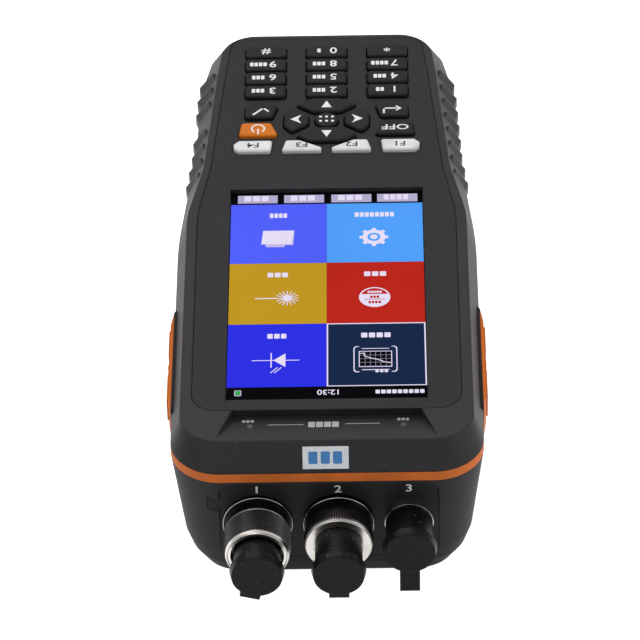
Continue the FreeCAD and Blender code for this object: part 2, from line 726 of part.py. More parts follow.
def make_rear_case():
    body = new_body("rear_case")
    tub(body, "AdditiveLoft", as_size(0), as_size(0), 3)
    tub(body, "SubtractiveLoft", s.wall, s.end_wall, 1, True)
    # posts for the main board and bosses for the case screws
    root = s.wall - s.post_root
    posts = new_sketch(body, height=root)
    half = s.post_width / 2
    for x, y in ((s.post_near_x, s.post_near_y), (s.post_far_x, s.post_far_y)):
        outline(posts, rectangle(-x - half, y - half, -x + half, y + half))
        outline(posts, rectangle(x - half, y - half, x + half, y + half))
    pad(body, posts, board_height - root)
    bosses = new_sketch(body, height=root)
    half = s.boss_width / 2
    for x, y in case_screw_places():
        outline(bosses, rectangle(x - half, y - half, x + half, y + half))
    pad(body, bosses, parting_height - root)
    # port panel: a rebate in the end wall and a window through it
    rebate = new_sketch(body, "XZ_Plane", -near_y + 1)
    edge = -s.panel_gap
    outline(rebate, rectangle(panel_left_x + edge, s.panel_bottom + edge,
                              panel_right_x - edge, panel_top - edge, s.panel_radius))
    depth = s.panel_inset + s.panel_thickness
    pocket(body, rebate, depth + 1)
    tab = new_sketch(body, "XZ_Plane", -near_y + 1)
    outline(tab, rectangle(panel_left_x - s.tab_width + edge, tab_bottom + edge,
                           panel_left_x + s.tab_width, tab_bottom + s.tab_height - edge))
    pocket(body, tab, depth + 1)
    window = new_sketch(body, "XZ_Plane", -near_y - depth)
    outline(window, rectangle(panel_left_x + s.panel_lap, s.panel_bottom + s.panel_lap,
                              panel_right_x - s.panel_lap, panel_top - s.panel_lap))
    pocket(body, window, s.end_wall + 1)
    # side cover recesses and the bays behind them
    recess = side_recess(body)
    bay = new_sketch(body, "YZ_Plane", s.body_half_width + 2)
    outline(bay, rectangle(cover_near_y + s.bay_far_inset, parting_height - s.bay_drop,
                           s.cover_far_y - s.bay_far_inset, parting_height + 2))
    bay_cut = pocket(body, bay, s.body_half_width + 2 - bay_inner_x)
    mirror(body, [recess, bay_cut])
    # battery door seat and opening
    half_width = s.door_width / 2 + s.door_gap
    half_length = s.door_length / 2 + s.door_gap
    seat = new_sketch(body)
    outline(seat, rectangle(-half_width, s.door_y - half_length,
                            half_width, s.door_y + half_length, s.door_radius))
    pocket(body, seat, s.door_thickness, Reversed=True)
    opening = new_sketch(body)
    end_lap = s.door_lap + s.door_screw_inset + s.screw_head_radius
    outline(opening, rectangle(-half_width + s.door_lap, s.door_y - half_length + end_lap,
                               half_width - s.door_lap, s.door_y + half_length - end_lap))
    pocket(body, opening, s.wall + 1, Reversed=True)
    # holes for the case and door screws
    holes = new_sketch(body)
    heads = new_sketch(body)
    for x, y in case_screw_places():
        circle(holes, x, y, s.screw_radius + s.screw_play)
        circle(heads, x, y, s.screw_head_radius + s.head_play)
    for y in door_screw_ys():
        circle(holes, 0, y, s.screw_radius + s.screw_play)
    pocket(body, holes, parting_height + 1, Reversed=True)
    pocket(body, heads, s.screw_sink + s.screw_head_height, Reversed=True)
    return body


def case_screw_places():
    return [(side * x, y) for x, y in ((s.boss_near_x, s.boss_near_y), (s.boss_far_x, s.boss_far_y))
            for side in (-1, 1)]


def door_screw_ys():
    reach = s.door_length / 2 - s.door_screw_inset
    return (s.door_y - reach, s.door_y + reach)


def make_front_case():
    body = new_body("front_case")
    pad(body, layer(body, parting, parting_height), s.belt_height)
    loft(body, "AdditiveLoft", layer(body, parting, belt_top), layer(body, rim, s.top_height))
    # grip ribs, each rising towards the far end
    rib_top = s.top_height - s.rib_top_drop
    slope_share = (rib_top - belt_top) / (s.top_height - belt_top)
    ribs = []
    for i in range(int(s.rib_count.number)):
        ends = []
        start = s.rib_first_y + s.rib_pitch * i
        for y, rise in ((start, s.rib_root_rise), (start + s.rib_length, s.rib_rise)):
            low = half_width_at(parting, y)
            top = low + (half_width_at(rim, y) - low) * slope_share
            sketch = new_sketch(body, "XZ_Plane", -y)
            outline(sketch, [(low - s.rib_root, parting_height, 0), (low + rise, parting_height, 0),
                             (low + rise, belt_top, 0), (top + rise * 0.8, rib_top, 0),
                             (top - s.rib_root, rib_top - s.rib_root, 0)])
            ends.append(sketch)
        ribs.append(loft(body, "AdditiveLoft", ends[0], ends[1]))
    mirror(body, ribs)
    # recess for the face plate, and the opening inside its ledge
    pocket(body, layer(body, plate, s.top_height + 1), s.plate_thickness + 1)
    opening = inset(plate, s.plate_ledge, s.plate_ledge, s.plate_ledge, s.plate_ledge)
    pocket(body, layer(body, opening, plate_bottom + 1), plate_bottom + 1 - parting_height)
    # lugs that take the far case screws
    lugs = new_sketch(body, height=parting_height)
    reach = half_width_at(plate, s.boss_far_y) - s.plate_ledge + s.lug_lap
    for side in (-1, 1):
        inner = (s.boss_far_x - s.boss_width / 2) * side
        ends = (inner, reach * side) if side > 0 else (reach * side, inner)
        outline(lugs, rectangle(ends[0], s.boss_far_y - s.boss_width / 2,
                                ends[1], s.boss_far_y + s.boss_width / 2))
    pad(body, lugs, s.lug_thickness)
    # hollow below the lamp ledge
    hollow = new_sketch(body, height=parting_height)
    hollow_half = s.lamp_x - s.lamp_radius - 1
    outline(hollow, rectangle(-hollow_half, near_y + s.end_wall, hollow_half, s.plate_near_y - s.wall))
    pocket(body, hollow, s.front_depth - s.ledge_depth - s.ledge_wall, Reversed=True)
    # wedge-shaped lamp ledge, deepest at the face plate, and its holes for the light pipes
    wedge = body.newObject("PartDesign::SubtractiveWedge", "front_case_ledge")
    for name, amount in (("Ymin", s.plate_near_y - s.ledge_run), ("Ymax", s.plate_near_y),
                         ("Xmin", -s.ledge_near_half_width), ("Xmax", s.ledge_near_half_width),
                         ("X2min", -s.ledge_deep_half_width), ("X2max", s.ledge_deep_half_width),
                         ("Zmin", s.top_height), ("Z2min", s.top_height - s.ledge_depth),
                         ("Zmax", s.top_height + 1), ("Z2max", s.top_height + 1)):
        bind(wedge, name, amount)
    pipes = new_sketch(body, height=s.top_height + 1)
    for x in (-s.lamp_x, s.lamp_x):
        circle(pipes, x, s.lamp_y, s.lamp_radius + s.lamp_gap)
    pocket(body, pipes, s.top_height + 1 - parting_height)
    # groove for the orange band, along the connector end and the sides
    groove = new_sketch(body, height=parting_height)
    outline(groove, band_outline(4))
    pocket(body, groove, s.belt_height, Reversed=True)
    mirror(body, [side_recess(body)])
    # holes for the case screws
    holes = new_sketch(body, height=parting_height)
    for x, y in case_screw_places():
        circle(holes, x, y, s.screw_radius)
    pocket(body, holes, s.screw_bite + s.screw_tip_gap, Reversed=True)
    return body


def band_outline(beyond):
    """U round the connector end: the band's own section, or more of it outwards."""
    x = s.body_half_width + beyond
    y = near_y - beyond
    inner_x = s.body_half_width - s.band_depth
    inner_y = near_y + s.band_depth
    end_y = cover_near_y - s.cover_gap - s.band_end_gap
    radius = s.near_corner_radius + beyond
    inner_radius = s.near_corner_radius - s.band_depth
    return [(-x, end_y, 0), (-x, y, radius), (x, y, radius), (x, end_y, 0),
            (inner_x, end_y, 0), (inner_x, inner_y, inner_radius),
            (-inner_x, inner_y, inner_radius), (-inner_x, end_y, 0)]


def make_seam_band():
    body = new_body("seam_band")
    sketch = new_sketch(body, height=parting_height)
    outline(sketch, band_outline(0))
    pad(body, sketch, s.belt_height)
    return body


def make_face_plate():
    body = new_body("face_plate")
    shape = inset(plate, s.plate_gap, s.plate_gap, s.plate_gap, 0)
    pad(body, layer(body, shape, plate_bottom), s.plate_thickness)
    # display opening with its bevelled lip, and the window's rebate behind it
    half_width = s.screen_width / 2
    half_length = s.screen_length / 2
    opening = new_sketch(body, height=s.top_height)
    outline(opening, rectangle(-half_width, s.screen_y - half_length,
                               half_width, s.screen_y + half_length))
    pocket(body, opening, s.plate_thickness + 1)
    rebate = new_sketch(body, height=plate_bottom)
    lap = s.window_lap
    outline(rebate, rectangle(-half_width - lap, s.screen_y - half_length - lap - s.screen_bevel,
                              half_width + lap, s.screen_y + half_length + lap))
    pocket(body, rebate, s.window_thickness, Reversed=True)
    lip = new_sketch(body, "YZ_Plane")
    lip_y = s.screen_y - half_length
    floor = plate_bottom + s.window_thickness
    outline(lip, [(lip_y - s.screen_bevel, s.top_height, 0), (lip_y, floor + 0.1, 0),
                  (lip_y + 1, floor + 0.1, 0), (lip_y + 1, s.top_height + 1, 0),
                  (lip_y - s.screen_bevel, s.top_height + 1, 0)])
    pocket(body, lip, s.screen_width, Midplane=True)
    # one opening for each key
    for x, y, corners in keys.values():
        hole = new_sketch(body, height=s.top_height)
        outline(hole, shifted(grown(corners, s.key_gap), x, y))
        pocket(body, hole, s.plate_thickness + 1)
    hole = new_sketch(body, height=s.top_height)
    circle(hole, 0, s.cluster_y, s.centre_hole_radius)
    pocket(body, hole, s.plate_thickness + 1)
    return body


# ---- keys ----

def make_keys():
    bottom = s.top_height + s.key_proud - s.key_body_height
    bodies = []
    for label, (x, y, corners) in keys.items():
        body = new_body(label, (x, y, bottom))
        sketch = new_sketch(body)
        outline(sketch, corners)
        pad(body, sketch, s.key_body_height)
        edge_feature(body, "Chamfer", "Size", s.key_edge, at_height(s.key_body_height))
        bodies.append(body)
    centre = new_body("key_centre", (0, s.cluster_y, bottom))
    sketch = new_sketch(centre)
    circle(sketch, 0, 0, s.centre_hole_radius - s.key_gap)
    pad(centre, sketch, s.key_body_height)
    edge_feature(centre, "Chamfer", "Size", s.key_edge, at_height(s.key_body_height))
    return bodies + [centre]


def keypad_layer(label, bottom, thickness):
    """Tapered sheet or board under the keys."""
    body = new_body(label)
    sketch = new_sketch(body, height=bottom)
    near_half = rim_grip_half_width - s.grip_margin - s.plate_ledge - s.keypad_near_gap
    far_half = rim_shoulder_half_width - s.shoulder_margin - s.plate_ledge - s.keypad_far_gap
    outline(sketch, [(-near_half, s.keypad_near_y, 0), (near_half, s.keypad_near_y, 0),
                     (far_half, s.keypad_far_y, 0), (-far_half, s.keypad_far_y, 0)])
    pad(body, sketch, thickness)
    return body


# ---- port panel and ports ----

def make_port_panel():
    body = new_body("port_panel")
    sketch = new_sketch(body, "XZ_Plane", -panel_y)
    outline(sketch, rectangle(panel_left_x, s.panel_bottom, panel_right_x, panel_top, s.panel_radius))
    pad(body, sketch, s.panel_thickness, Reversed=True)
    tab = new_sketch(body, "XZ_Plane", -panel_y)
    outline(tab, rectangle(panel_left_x - s.tab_width, tab_bottom,
                           panel_left_x + s.tab_width, tab_bottom + s.tab_height))
    pad(body, tab, s.panel_thickness, Reversed=True)
    holes = new_sketch(body, "XZ_Plane", -panel_y + 1)
    for x in (s.otdr_x, s.opm_x, s.vfl_x):
        circle(holes, x, port_height, s.stub_radius + s.stub_gap)
    pocket(body, holes, s.panel_thickness + 2)
    return body


def turned_port(label, x, profile):
    """A turned piece on a port's axis; profile radii run from the panel outwards along -Y."""
    body = new_body(label, (x, panel_y, port_height))
    sketch = new_sketch(body)
    outline(sketch, [(radius, -distance, 0) for radius, distance in profile])
    turn(body, sketch)
    return body


def make_ports():
    bore = s.ferrule_radius
    stub = [(bore, -s.stub_length), (s.stub_radius, -s.stub_length), (s.stub_radius, as_size(0))]
    gap = s.collar_gap
    floor = s.collar_front - s.collar_recess_depth
    barrel_end = s.otdr_cap_front - s.cap_front_wall - s.cap_floor_gap
    otdr_base = turned_port("otdr_base", s.otdr_x, stub + [
        (s.flange_radius, as_size(0)), (s.flange_radius, s.flange_length),
        (s.shoulder_ring_radius, s.flange_length), (s.shoulder_ring_radius, s.collar_back - gap),
        (s.neck_radius, s.collar_back - gap), (s.neck_radius, floor - gap), (s.barrel_radius, floor - gap),
        (s.barrel_radius, barrel_end), (bore, barrel_end)])
    otdr_collar = turned_port("otdr_collar", s.otdr_x, [
        (s.neck_radius + s.neck_gap, s.collar_back), (s.collar_radius, s.collar_back),
        (s.collar_radius, s.collar_front - s.collar_edge), (s.collar_radius - s.collar_edge, s.collar_front),
        (s.collar_recess_radius, s.collar_front), (s.collar_recess_radius, floor),
        (s.neck_radius + s.neck_gap, floor)])
    neck_end = s.adapter_front - s.adapter_wall
    base_end = s.adapter_back - gap
    opm_base = turned_port("opm_base", s.opm_x, stub + [
        (s.opm_flange_radius, as_size(0)), (s.opm_flange_radius, s.opm_flange_length),
        (s.opm_base_radius, s.opm_flange_length), (s.opm_base_radius, base_end),
        (s.neck_radius, base_end), (s.neck_radius, neck_end - gap), (bore, neck_end - gap)])
    flat = new_sketch(opm_base, "XZ_Plane", s.opm_flange_length)
    outline(flat, rectangle(-s.opm_base_radius, s.opm_flat_height, s.opm_base_radius, s.opm_base_radius + 1))
    pocket(opm_base, flat, base_end, Reversed=True)
    adapter_end = s.opm_cap_front - s.cap_front_wall - s.cap_floor_gap
    opm_adapter = turned_port("opm_adapter", s.opm_x, [
        (s.neck_radius + s.neck_gap, s.adapter_back), (s.adapter_radius, s.adapter_back),
        (s.adapter_radius, s.adapter_front - s.adapter_edge),
        (s.adapter_radius - s.adapter_edge, s.adapter_front), (s.barrel_radius, s.adapter_front),
        (s.barrel_radius, adapter_end), (bore, adapter_end), (bore, neck_end),
        (s.neck_radius + s.neck_gap, neck_end)])
    vfl_end = s.vfl_cap_front - s.cap_front_wall - s.cap_floor_gap
    ring = s.vfl_ring_length
    vfl_barrel = turned_port("vfl_barrel", s.vfl_x, stub + [
        (s.vfl_ring_radius, as_size(0)), (s.vfl_ring_radius, ring), (s.barrel_radius, ring),
        (s.barrel_radius, vfl_end), (bore, vfl_end)])
    return [otdr_base, otdr_collar, opm_base, opm_adapter, vfl_barrel]


def make_cap(label, x, back_face, front, folded, tab_turn=0):
    """Rubber dust cap: cup, wider head and a pull tab under it, folded back or hanging."""
    bore = s.barrel_radius + s.cap_bore_gap
    head_back = front - s.cap_head_length
    floor = front - s.cap_front_wall
    body = new_body(label, (x, panel_y, port_height))
    if tab_turn:
        body.Placement = Placement(body.Placement.Base, Rotation(Vector(0, 1, 0), tab_turn.number))
        bind(body, "Placement.Rotation.Angle", tab_turn)
    cup = new_sketch(body)
    profile = [(as_size(0), floor), (bore, floor), (bore, back_face), (s.cap_radius, back_face),
               (s.cap_radius, head_back - s.cap_head_flare), (s.cap_head_radius, head_back),
               (s.cap_head_front_radius, front), (as_size(0), front)]
    outline(cup, [(radius, -distance, 0) for radius, distance in profile])
    turn(body, cup)
    half = s.cap_tab_width / 2
    top = s.cap_tab_lap - s.cap_head_front_radius
    drop = s.cap_tab_thickness if folded else s.cap_tab_drop
    tab = new_sketch(body, "XZ_Plane", front - s.cap_tab_back)
    outline(tab, rectangle(-half, -s.cap_head_radius - drop, half, top))
    pad(body, tab, s.cap_tab_fold if folded else s.cap_tab_thickness, Reversed=True)
    return body


# ---- side covers ----

def make_side_cover(label, side):
    """Rubber cover that swings about the round bead at its far end."""
    body = new_body(label)
    hinge_radius = (cover_edge_x - cover_inner_x) / 2
    hinge_x = cover_inner_x + hinge_radius
    y1 = s.cover_far_y - hinge_radius
    y0 = cover_near_y
    middle = s.body_half_width + s.cover_middle_proud
    corners = [(cover_inner_x, y0, 0), (cover_edge_x, y0, 0),
               (middle, y0 + s.pad_end_margin, s.cover_blend),
               (middle, s.cover_far_y - s.pad_end_margin, s.cover_blend),
               (cover_edge_x, y1, 0), (cover_inner_x, y1, 0)]
    plan = new_sketch(body, height=cover_bottom)
    outline(plan, corners if side > 0 else mirrored_outline(corners))
    pad(body, plan, s.cover_height)
    bead = new_sketch(body, height=cover_bottom)
    circle(bead, hinge_x * side, y1, hinge_radius)
    pad(body, bead, s.cover_height)
    # two raised finger pads and the small rib between them
    middle_z = cover_bottom + s.cover_height / 2
    root = 0.6
    start = (middle - root) * side
    far_pad_end = s.cover_far_y - s.pad_end_margin
    near_pad_end = y0 + s.pad_end_margin + s.near_pad_length
    rib_end = (far_pad_end - s.far_pad_length + near_pad_end + s.pad_rib_length) / 2
    for end_y, length, half in ((far_pad_end, s.far_pad_length, s.pad_half_height),
                                (rib_end, s.pad_rib_length, s.pad_rib_half_height),
                                (near_pad_end, s.near_pad_length, s.pad_half_height)):
        raised = new_sketch(body, "YZ_Plane", start)
        outline(raised, rectangle(end_y - length, middle_z - half, end_y, middle_z + half))
        pad(body, raised, s.cover_pad_rise + root, Reversed=side < 0, TaperAngle=-12.0)
    return body


# ---- inside ----

def make_inside():
    half_width = s.screen_width / 2
    half_length = s.screen_length / 2
    lap = s.window_lap - 0.1
    window = box("display_window", -half_width - lap, s.screen_y - half_length - lap - s.screen_bevel,
                 plate_bottom, s.screen_width + lap * 2, s.screen_length + lap * 2 + s.screen_bevel,
                 s.window_thickness)
    reach = s.module_lap
    module = box("display_module", -half_width - reach, s.screen_y - half_length - reach,
                 plate_bottom - s.module_thickness, s.screen_width + reach * 2,
                 s.screen_length + reach * 2, s.module_thickness)
    key_foot = s.top_height + s.key_proud - s.key_body_height
    sheet_bottom = key_foot - s.key_travel_room - s.sheet_thickness
    rubber = keypad_layer("keypad_sheet", sheet_bottom, s.sheet_thickness)
    contacts = keypad_layer("keypad_board", sheet_bottom - s.keypad_board_thickness,
                            s.keypad_board_thickness)
    board_half = bay_inner_x - s.board_side_gap
    board_near = s.boss_near_y + s.boss_width / 2 + s.board_end_gap
    board_far = s.boss_far_y - s.boss_width / 2 - s.board_end_gap
    board = box("main_board", -board_half, board_near, board_height,
                board_half * 2, board_far - board_near, s.board_thickness)
    engine = box("optical_engine", -s.engine_width / 2, s.engine_near_y, s.wall,
                 s.engine_width, s.engine_length, s.engine_height)
    battery = box("battery_pack", -s.battery_width / 2, s.door_y - s.battery_length / 2,
                  s.wall, s.battery_width, s.battery_length, board_height - s.wall - s.battery_room)
    buzzer = cylinder("buzzer", 0, s.buzzer_y, board_top, s.buzzer_radius, s.buzzer_height)
    return [window, module, rubber, contacts, board, engine, battery, buzzer]


def make_battery_door():
    body = new_body("battery_door")
    plan = new_sketch(body)
    half_width = s.door_width / 2
    half_length = s.door_length / 2
    outline(plan, rectangle(-half_width, s.door_y - half_length, half_width, s.door_y + half_length,
                            s.door_radius))
    pad(body, plan, s.door_thickness)
    heads = new_sketch(body)
    holes = new_sketch(body)
    for y in door_screw_ys():
        circle(heads, 0, y, s.screw_head_radius + s.head_play)
        circle(holes, 0, y, s.screw_radius + s.screw_play)
    pocket(body, heads, s.door_thickness - s.door_head_floor, Reversed=True)
    pocket(body, holes, s.door_thickness + 1, Reversed=True)
    # finger grooves across the door
    groove = new_sketch(body)
    start = s.door_y - half_length + s.groove_margin
    outline(groove, rectangle(-s.groove_half_length, start, s.groove_half_length, start + s.groove_width))
    cut = pocket(body, groove, s.groove_depth, Reversed=True)
    document.recompute()
    row = body.newObject("PartDesign::LinearPattern", "battery_door_grooves")
    row.Originals = [cut]
    row.Direction = (groove, ["V_Axis"])
    bind(row, "Length", s.groove_pitch * 4)
    row.Occurrences = 5
    body.Tip = row
    return body


def screw(label, x, y, head_bottom, head_height, tip):
    head = cylinder(label + "_head", x, y, head_bottom, s.screw_head_radius, head_height)
    shank = cylinder(label + "_shank", x, y, head_bottom, s.screw_radius, tip - head_bottom)
    return [head, shank]


def make_screws():
    pieces = []
    for i, (x, y) in enumerate(case_screw_places()):
        pieces += screw("case_screw_%d" % i, x, y, s.screw_sink, s.screw_head_height, screw_tip)
    case_screws = join("case_screws", pieces)
    pieces = []
    seat = s.door_thickness - s.door_head_floor
    for i, y in enumerate(door_screw_ys()):
        pieces += screw("door_screw_%d" % i, 0, y, seat - s.door_head_height, s.door_head_height, s.wall)
    return [case_screws, join("door_screws", pieces)]


def make_lamps():
    slope = (s.lamp_y - s.plate_near_y + s.ledge_run) / s.ledge_run
    top = s.top_height - s.ledge_depth * slope + s.lamp_proud
    pieces = [cylinder("lamp_%d" % i, x, s.lamp_y, parting_height, s.lamp_radius, top - parting_height)
              for i, x in enumerate((-s.lamp_x, s.lamp_x))]
    return join("lamp_pipes", pieces)


def make_usb_socket():
    """Open metal shell facing the left side bay, with its tongue."""
    body = new_body("usb_socket")
    y0 = s.usb_y - s.usb_width / 2
    shell = new_sketch(body, "YZ_Plane", -bay_inner_x + 0.2)
    outline(shell, rectangle(y0, board_top, y0 + s.usb_width, board_top + s.usb_height))
    pad(body, shell, s.usb_depth)
    mouth = new_sketch(body, "YZ_Plane", -bay_inner_x)
    wall = s.usb_shell
    outline(mouth, rectangle(y0 + wall, board_top + wall, y0 + s.usb_width - wall,
                             board_top + s.usb_height - wall))
    pocket(body, mouth, s.usb_depth - 2, Reversed=True)
    tongue = new_sketch(body, "YZ_Plane", -bay_inner_x + 1.2)
    middle = board_top + s.usb_height * 0.62
    outline(tongue, rectangle(y0 + 1.2, middle, y0 + s.usb_width - 1.2, middle + 1.7))
    pad(body, tongue, s.usb_depth - 2)
    return body


def make_power_socket():
    """Block facing the right side bay, with its bore and centre pin."""
    body = new_body("power_socket")
    y0 = s.power_y - s.power_width / 2
    block = new_sketch(body, "YZ_Plane", bay_inner_x - 0.2)
    outline(block, rectangle(y0, board_top, y0 + s.power_width, board_top + s.power_height))
    pad(body, block, s.power_depth, Reversed=True)
    centre_z = board_top + s.power_height / 2
    bore = new_sketch(body, "YZ_Plane", bay_inner_x)
    circle(bore, s.power_y, centre_z, s.power_bore_radius)
    circle(bore, s.power_y, centre_z, s.power_pin_radius)
    pocket(body, bore, s.power_depth - 3)
    return body


nodes = [make_rear_case(), make_front_case(), make_seam_band(), make_face_plate(), make_port_panel()]
nodes += make_ports()
nodes += [
    make_cap("otdr_cap", s.otdr_x, s.collar_front - s.collar_recess_depth + s.cap_seat_gap,
             s.otdr_cap_front, True, s.otdr_tab_turn),
    make_cap("opm_cap", s.opm_x, s.adapter_front + s.cap_seat_gap, s.opm_cap_front, True),
    make_cap("vfl_cap", s.vfl_x, s.vfl_ring_length + s.cap_seat_gap, s.vfl_cap_front, False),
]
nodes += make_keys()
nodes += [make_side_cover("right_cover", 1), make_side_cover("left_cover", -1)]
nodes += make_inside()
nodes += [make_battery_door(), make_lamps(), make_usb_socket(), make_power_socket()]
nodes += make_screws()

document.recompute()

faults = [item.Name for item in document.Objects if {"Invalid", "Error"} & set(item.State)]
for item in nodes:
    if item.Shape.isNull() or not item.Shape.isValid() or item.Shape.Volume <= 0:
        faults.append(item.Label)
if faults:
    raise RuntimeError("failed: " + ", ".join(faults))

os.makedirs("parts", exist_ok=True)
for item in nodes:
    item.Shape.exportStep(os.path.join("parts", item.Label + ".step"))
print(len(nodes), "sub-parts written")
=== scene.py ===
import math
import bmesh
import bpy
from mathutils import Matrix, Vector


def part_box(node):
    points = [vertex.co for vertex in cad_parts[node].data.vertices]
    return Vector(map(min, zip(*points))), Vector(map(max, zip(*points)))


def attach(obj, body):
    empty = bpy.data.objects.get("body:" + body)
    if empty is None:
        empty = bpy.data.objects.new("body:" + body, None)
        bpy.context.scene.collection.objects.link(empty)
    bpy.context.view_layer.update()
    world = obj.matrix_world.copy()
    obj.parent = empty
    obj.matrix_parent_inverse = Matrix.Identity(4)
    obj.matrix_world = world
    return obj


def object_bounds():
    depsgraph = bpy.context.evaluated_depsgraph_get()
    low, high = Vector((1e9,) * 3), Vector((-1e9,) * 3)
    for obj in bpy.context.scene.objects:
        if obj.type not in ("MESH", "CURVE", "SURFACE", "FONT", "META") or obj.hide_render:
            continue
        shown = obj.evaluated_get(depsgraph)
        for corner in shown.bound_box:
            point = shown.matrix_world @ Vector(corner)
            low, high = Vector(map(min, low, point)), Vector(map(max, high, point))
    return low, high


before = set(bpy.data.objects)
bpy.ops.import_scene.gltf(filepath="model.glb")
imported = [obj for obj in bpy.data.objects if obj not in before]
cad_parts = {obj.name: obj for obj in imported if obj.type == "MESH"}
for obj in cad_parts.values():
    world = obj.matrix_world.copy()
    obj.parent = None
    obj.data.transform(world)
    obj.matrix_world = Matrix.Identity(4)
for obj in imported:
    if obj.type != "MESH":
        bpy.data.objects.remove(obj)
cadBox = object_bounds()
mm = 0.001
print("frame loaded")


def toLinear(channel):
    c = channel / 255
    return c / 12.92 if c <= 0.04045 else ((c + 0.055) / 1.055) ** 2.4


def rgb(r, g, b):
    return (toLinear(r), toLinear(g), toLinear(b), 1.0)


class Value:  # what comes out of a node, with arithmetic
    def __init__(self, maker, socket):
        self.maker = maker
        self.socket = socket

    def math(self, operation, *others, swap=False):
        row = [others[0], self] if swap else [self, *others]
        return self.maker.node("ShaderNodeMath", {"operation": operation}, row).value(0)

    def __add__(self, other):
        return self.math("ADD", other)

    def __radd__(self, other):
        return self.math("ADD", other)

    def __sub__(self, other):
        return self.math("SUBTRACT", other)

    def __rsub__(self, other):
        return self.math("SUBTRACT", other, swap=True)

    def __mul__(self, other):
        return self.math("MULTIPLY", other)

    def __rmul__(self, other):
        return self.math("MULTIPLY", other)

    def __truediv__(self, other):
        return self.math("DIVIDE", other)

    def between(self, low, high):  # 0 at low and 1 at high
        return self.maker.node("ShaderNodeMapRange", {}, [self, low, high, 0.0, 1.0]).value(0)


class Made:  # a node just made
    def __init__(self, maker, node):
        self.maker = maker
        self.node = node

    def value(self, output=0):
        return Value(self.maker, self.node.outputs[output])


class Tree:  # a node tree that takes a node's type, its settings and what feeds it
    def __init__(self, tree):
        self.tree = tree
        self.tree.nodes.clear()

    def node(self, kind, settings=None, feeds=None):
        made = self.tree.nodes.new(kind)
        for key, setting in (settings or {}).items():
            setattr(made, key, setting)
        pairs = feeds.items() if isinstance(feeds, dict) else enumerate(feeds or [])
        for key, amount in pairs:
            if isinstance(amount, Value):
                self.tree.links.new(amount.socket, made.inputs[key])
            else:
                made.inputs[key].default_value = amount
        return Made(self, made)


class Shade(Tree):  # one material's tree
    def __init__(self, name):
        self.material = bpy.data.materials.new(name)
        self.material.use_nodes = True
        super().__init__(self.material.node_tree)
        self.place = self.node("ShaderNodeTexCoord").value("Object")

    def noise(self, scale, detail=3.0, roughness=0.5, place=None):
        return self.node("ShaderNodeTexNoise", {}, {
            "Vector": place or self.place, "Scale": scale, "Detail": detail,
            "Roughness": roughness}).value("Fac")

    def stretched(self, scale):
        return self.node("ShaderNodeMapping", {}, {"Vector": self.place, "Scale": scale}).value(0)

    def mix(self, factor, first, second):
        feeds = {0: factor, 6: first, 7: second}
        return self.node("ShaderNodeMix", {"data_type": "RGBA"}, feeds).value(2)

    def bump(self, height, strength, distance, under):
        return self.node("ShaderNodeBump", {}, {
            "Height": height, "Strength": strength, "Distance": distance,
            "Normal": under}).value("Normal")

    def rounded(self, radius):
        return self.node("ShaderNodeBevel", {"samples": 4}, {"Radius": radius}).value("Normal")

    def done(self, feeds):
        shader = self.node("ShaderNodeBsdfPrincipled", {}, feeds).value(0)
        self.node("ShaderNodeOutputMaterial", {}, [shader])
        return self.material


def shaded(color, share):  # the same colour, darker or lighter
    return tuple(min(c * share, 1) for c in color[:3]) + (1,)


dustColor = rgb(170, 168, 164)
grainDepth = {"plastic": 0.06, "rubber": 0.08, "metal": 0.03}  # how deep each bump is, in mm
zoneBlur = {"cover": 0.1, "metal": 0.2}  # half the width of the edge between two colours


def mouldedPlastic(name, color, grain=0.25, roughness=0.55, edge=0.35, specular=0.18, dust=0.0):
    s = Shade(name)
    fine = s.noise(2600, 2)
    broad = s.noise(45, 4)
    tint = s.mix(broad.between(0.35, 0.7), shaded(color, 0.9), shaded(color, 1.1))
    if dust:
        specks = s.noise(800, 2, 0.7).between(0.73, 0.77)
        tint = s.mix(specks * dust, tint, dustColor)
    normal = s.bump(fine, grain, grainDepth["plastic"] * mm, s.rounded(edge * mm))
    uneven = fine * 0.12 + broad * 0.1 + (roughness - 0.11)
    return s.done({"Base Color": tint, "Roughness": uneven, "Specular IOR Level": specular,
                   "Normal": normal})


def rubber(name, color, roughness=0.6, grain=0.2, edge=0.4, specular=0.16, dust=0.0):
    s = Shade(name)
    fine = s.noise(1500, 3, 0.6)
    broad = s.noise(120, 3)
    tint = s.mix(broad.between(0.3, 0.7), shaded(color, 0.86), shaded(color, 1.12))
    if dust:
        specks = s.noise(1100, 2, 0.7).between(0.68, 0.72)
        tint = s.mix(specks * dust, tint, dustColor)
    normal = s.bump(fine, grain, grainDepth["rubber"] * mm, s.rounded(edge * mm))
    return s.done({"Base Color": tint, "Roughness": broad * 0.2 + (roughness - 0.1),
                   "Specular IOR Level": specular, "Normal": normal})


def coverRubber(name, color, paintedShade, stepX, endY):  # orange, with shade painted as a dark band along the inner edge and at the end
    s = Shade(name)
    fine = s.noise(1500, 3, 0.6)
    broad = s.noise(120, 3)
    spot = s.node("ShaderNodeSeparateXYZ", {}, [s.place])
    blur = zoneBlur["cover"] * mm
    # the dark band is painted shade of the gap beside the cover, not a black part
    outside = (spot.value(0).math("ABSOLUTE") - stepX * mm).between(-blur, blur)
    shown = outside * (endY * mm - spot.value(1)).between(-blur, blur)
    tint = s.mix(broad.between(0.3, 0.7), shaded(color, 0.86), shaded(color, 1.1))
    normal = s.bump(fine, 0.15, grainDepth["rubber"] * mm, s.rounded(0.5 * mm))
    return s.done({"Base Color": s.mix(shown, paintedShade, tint), "Roughness": broad * 0.2 + 0.5,
                   "Specular IOR Level": 0.14, "Normal": normal})


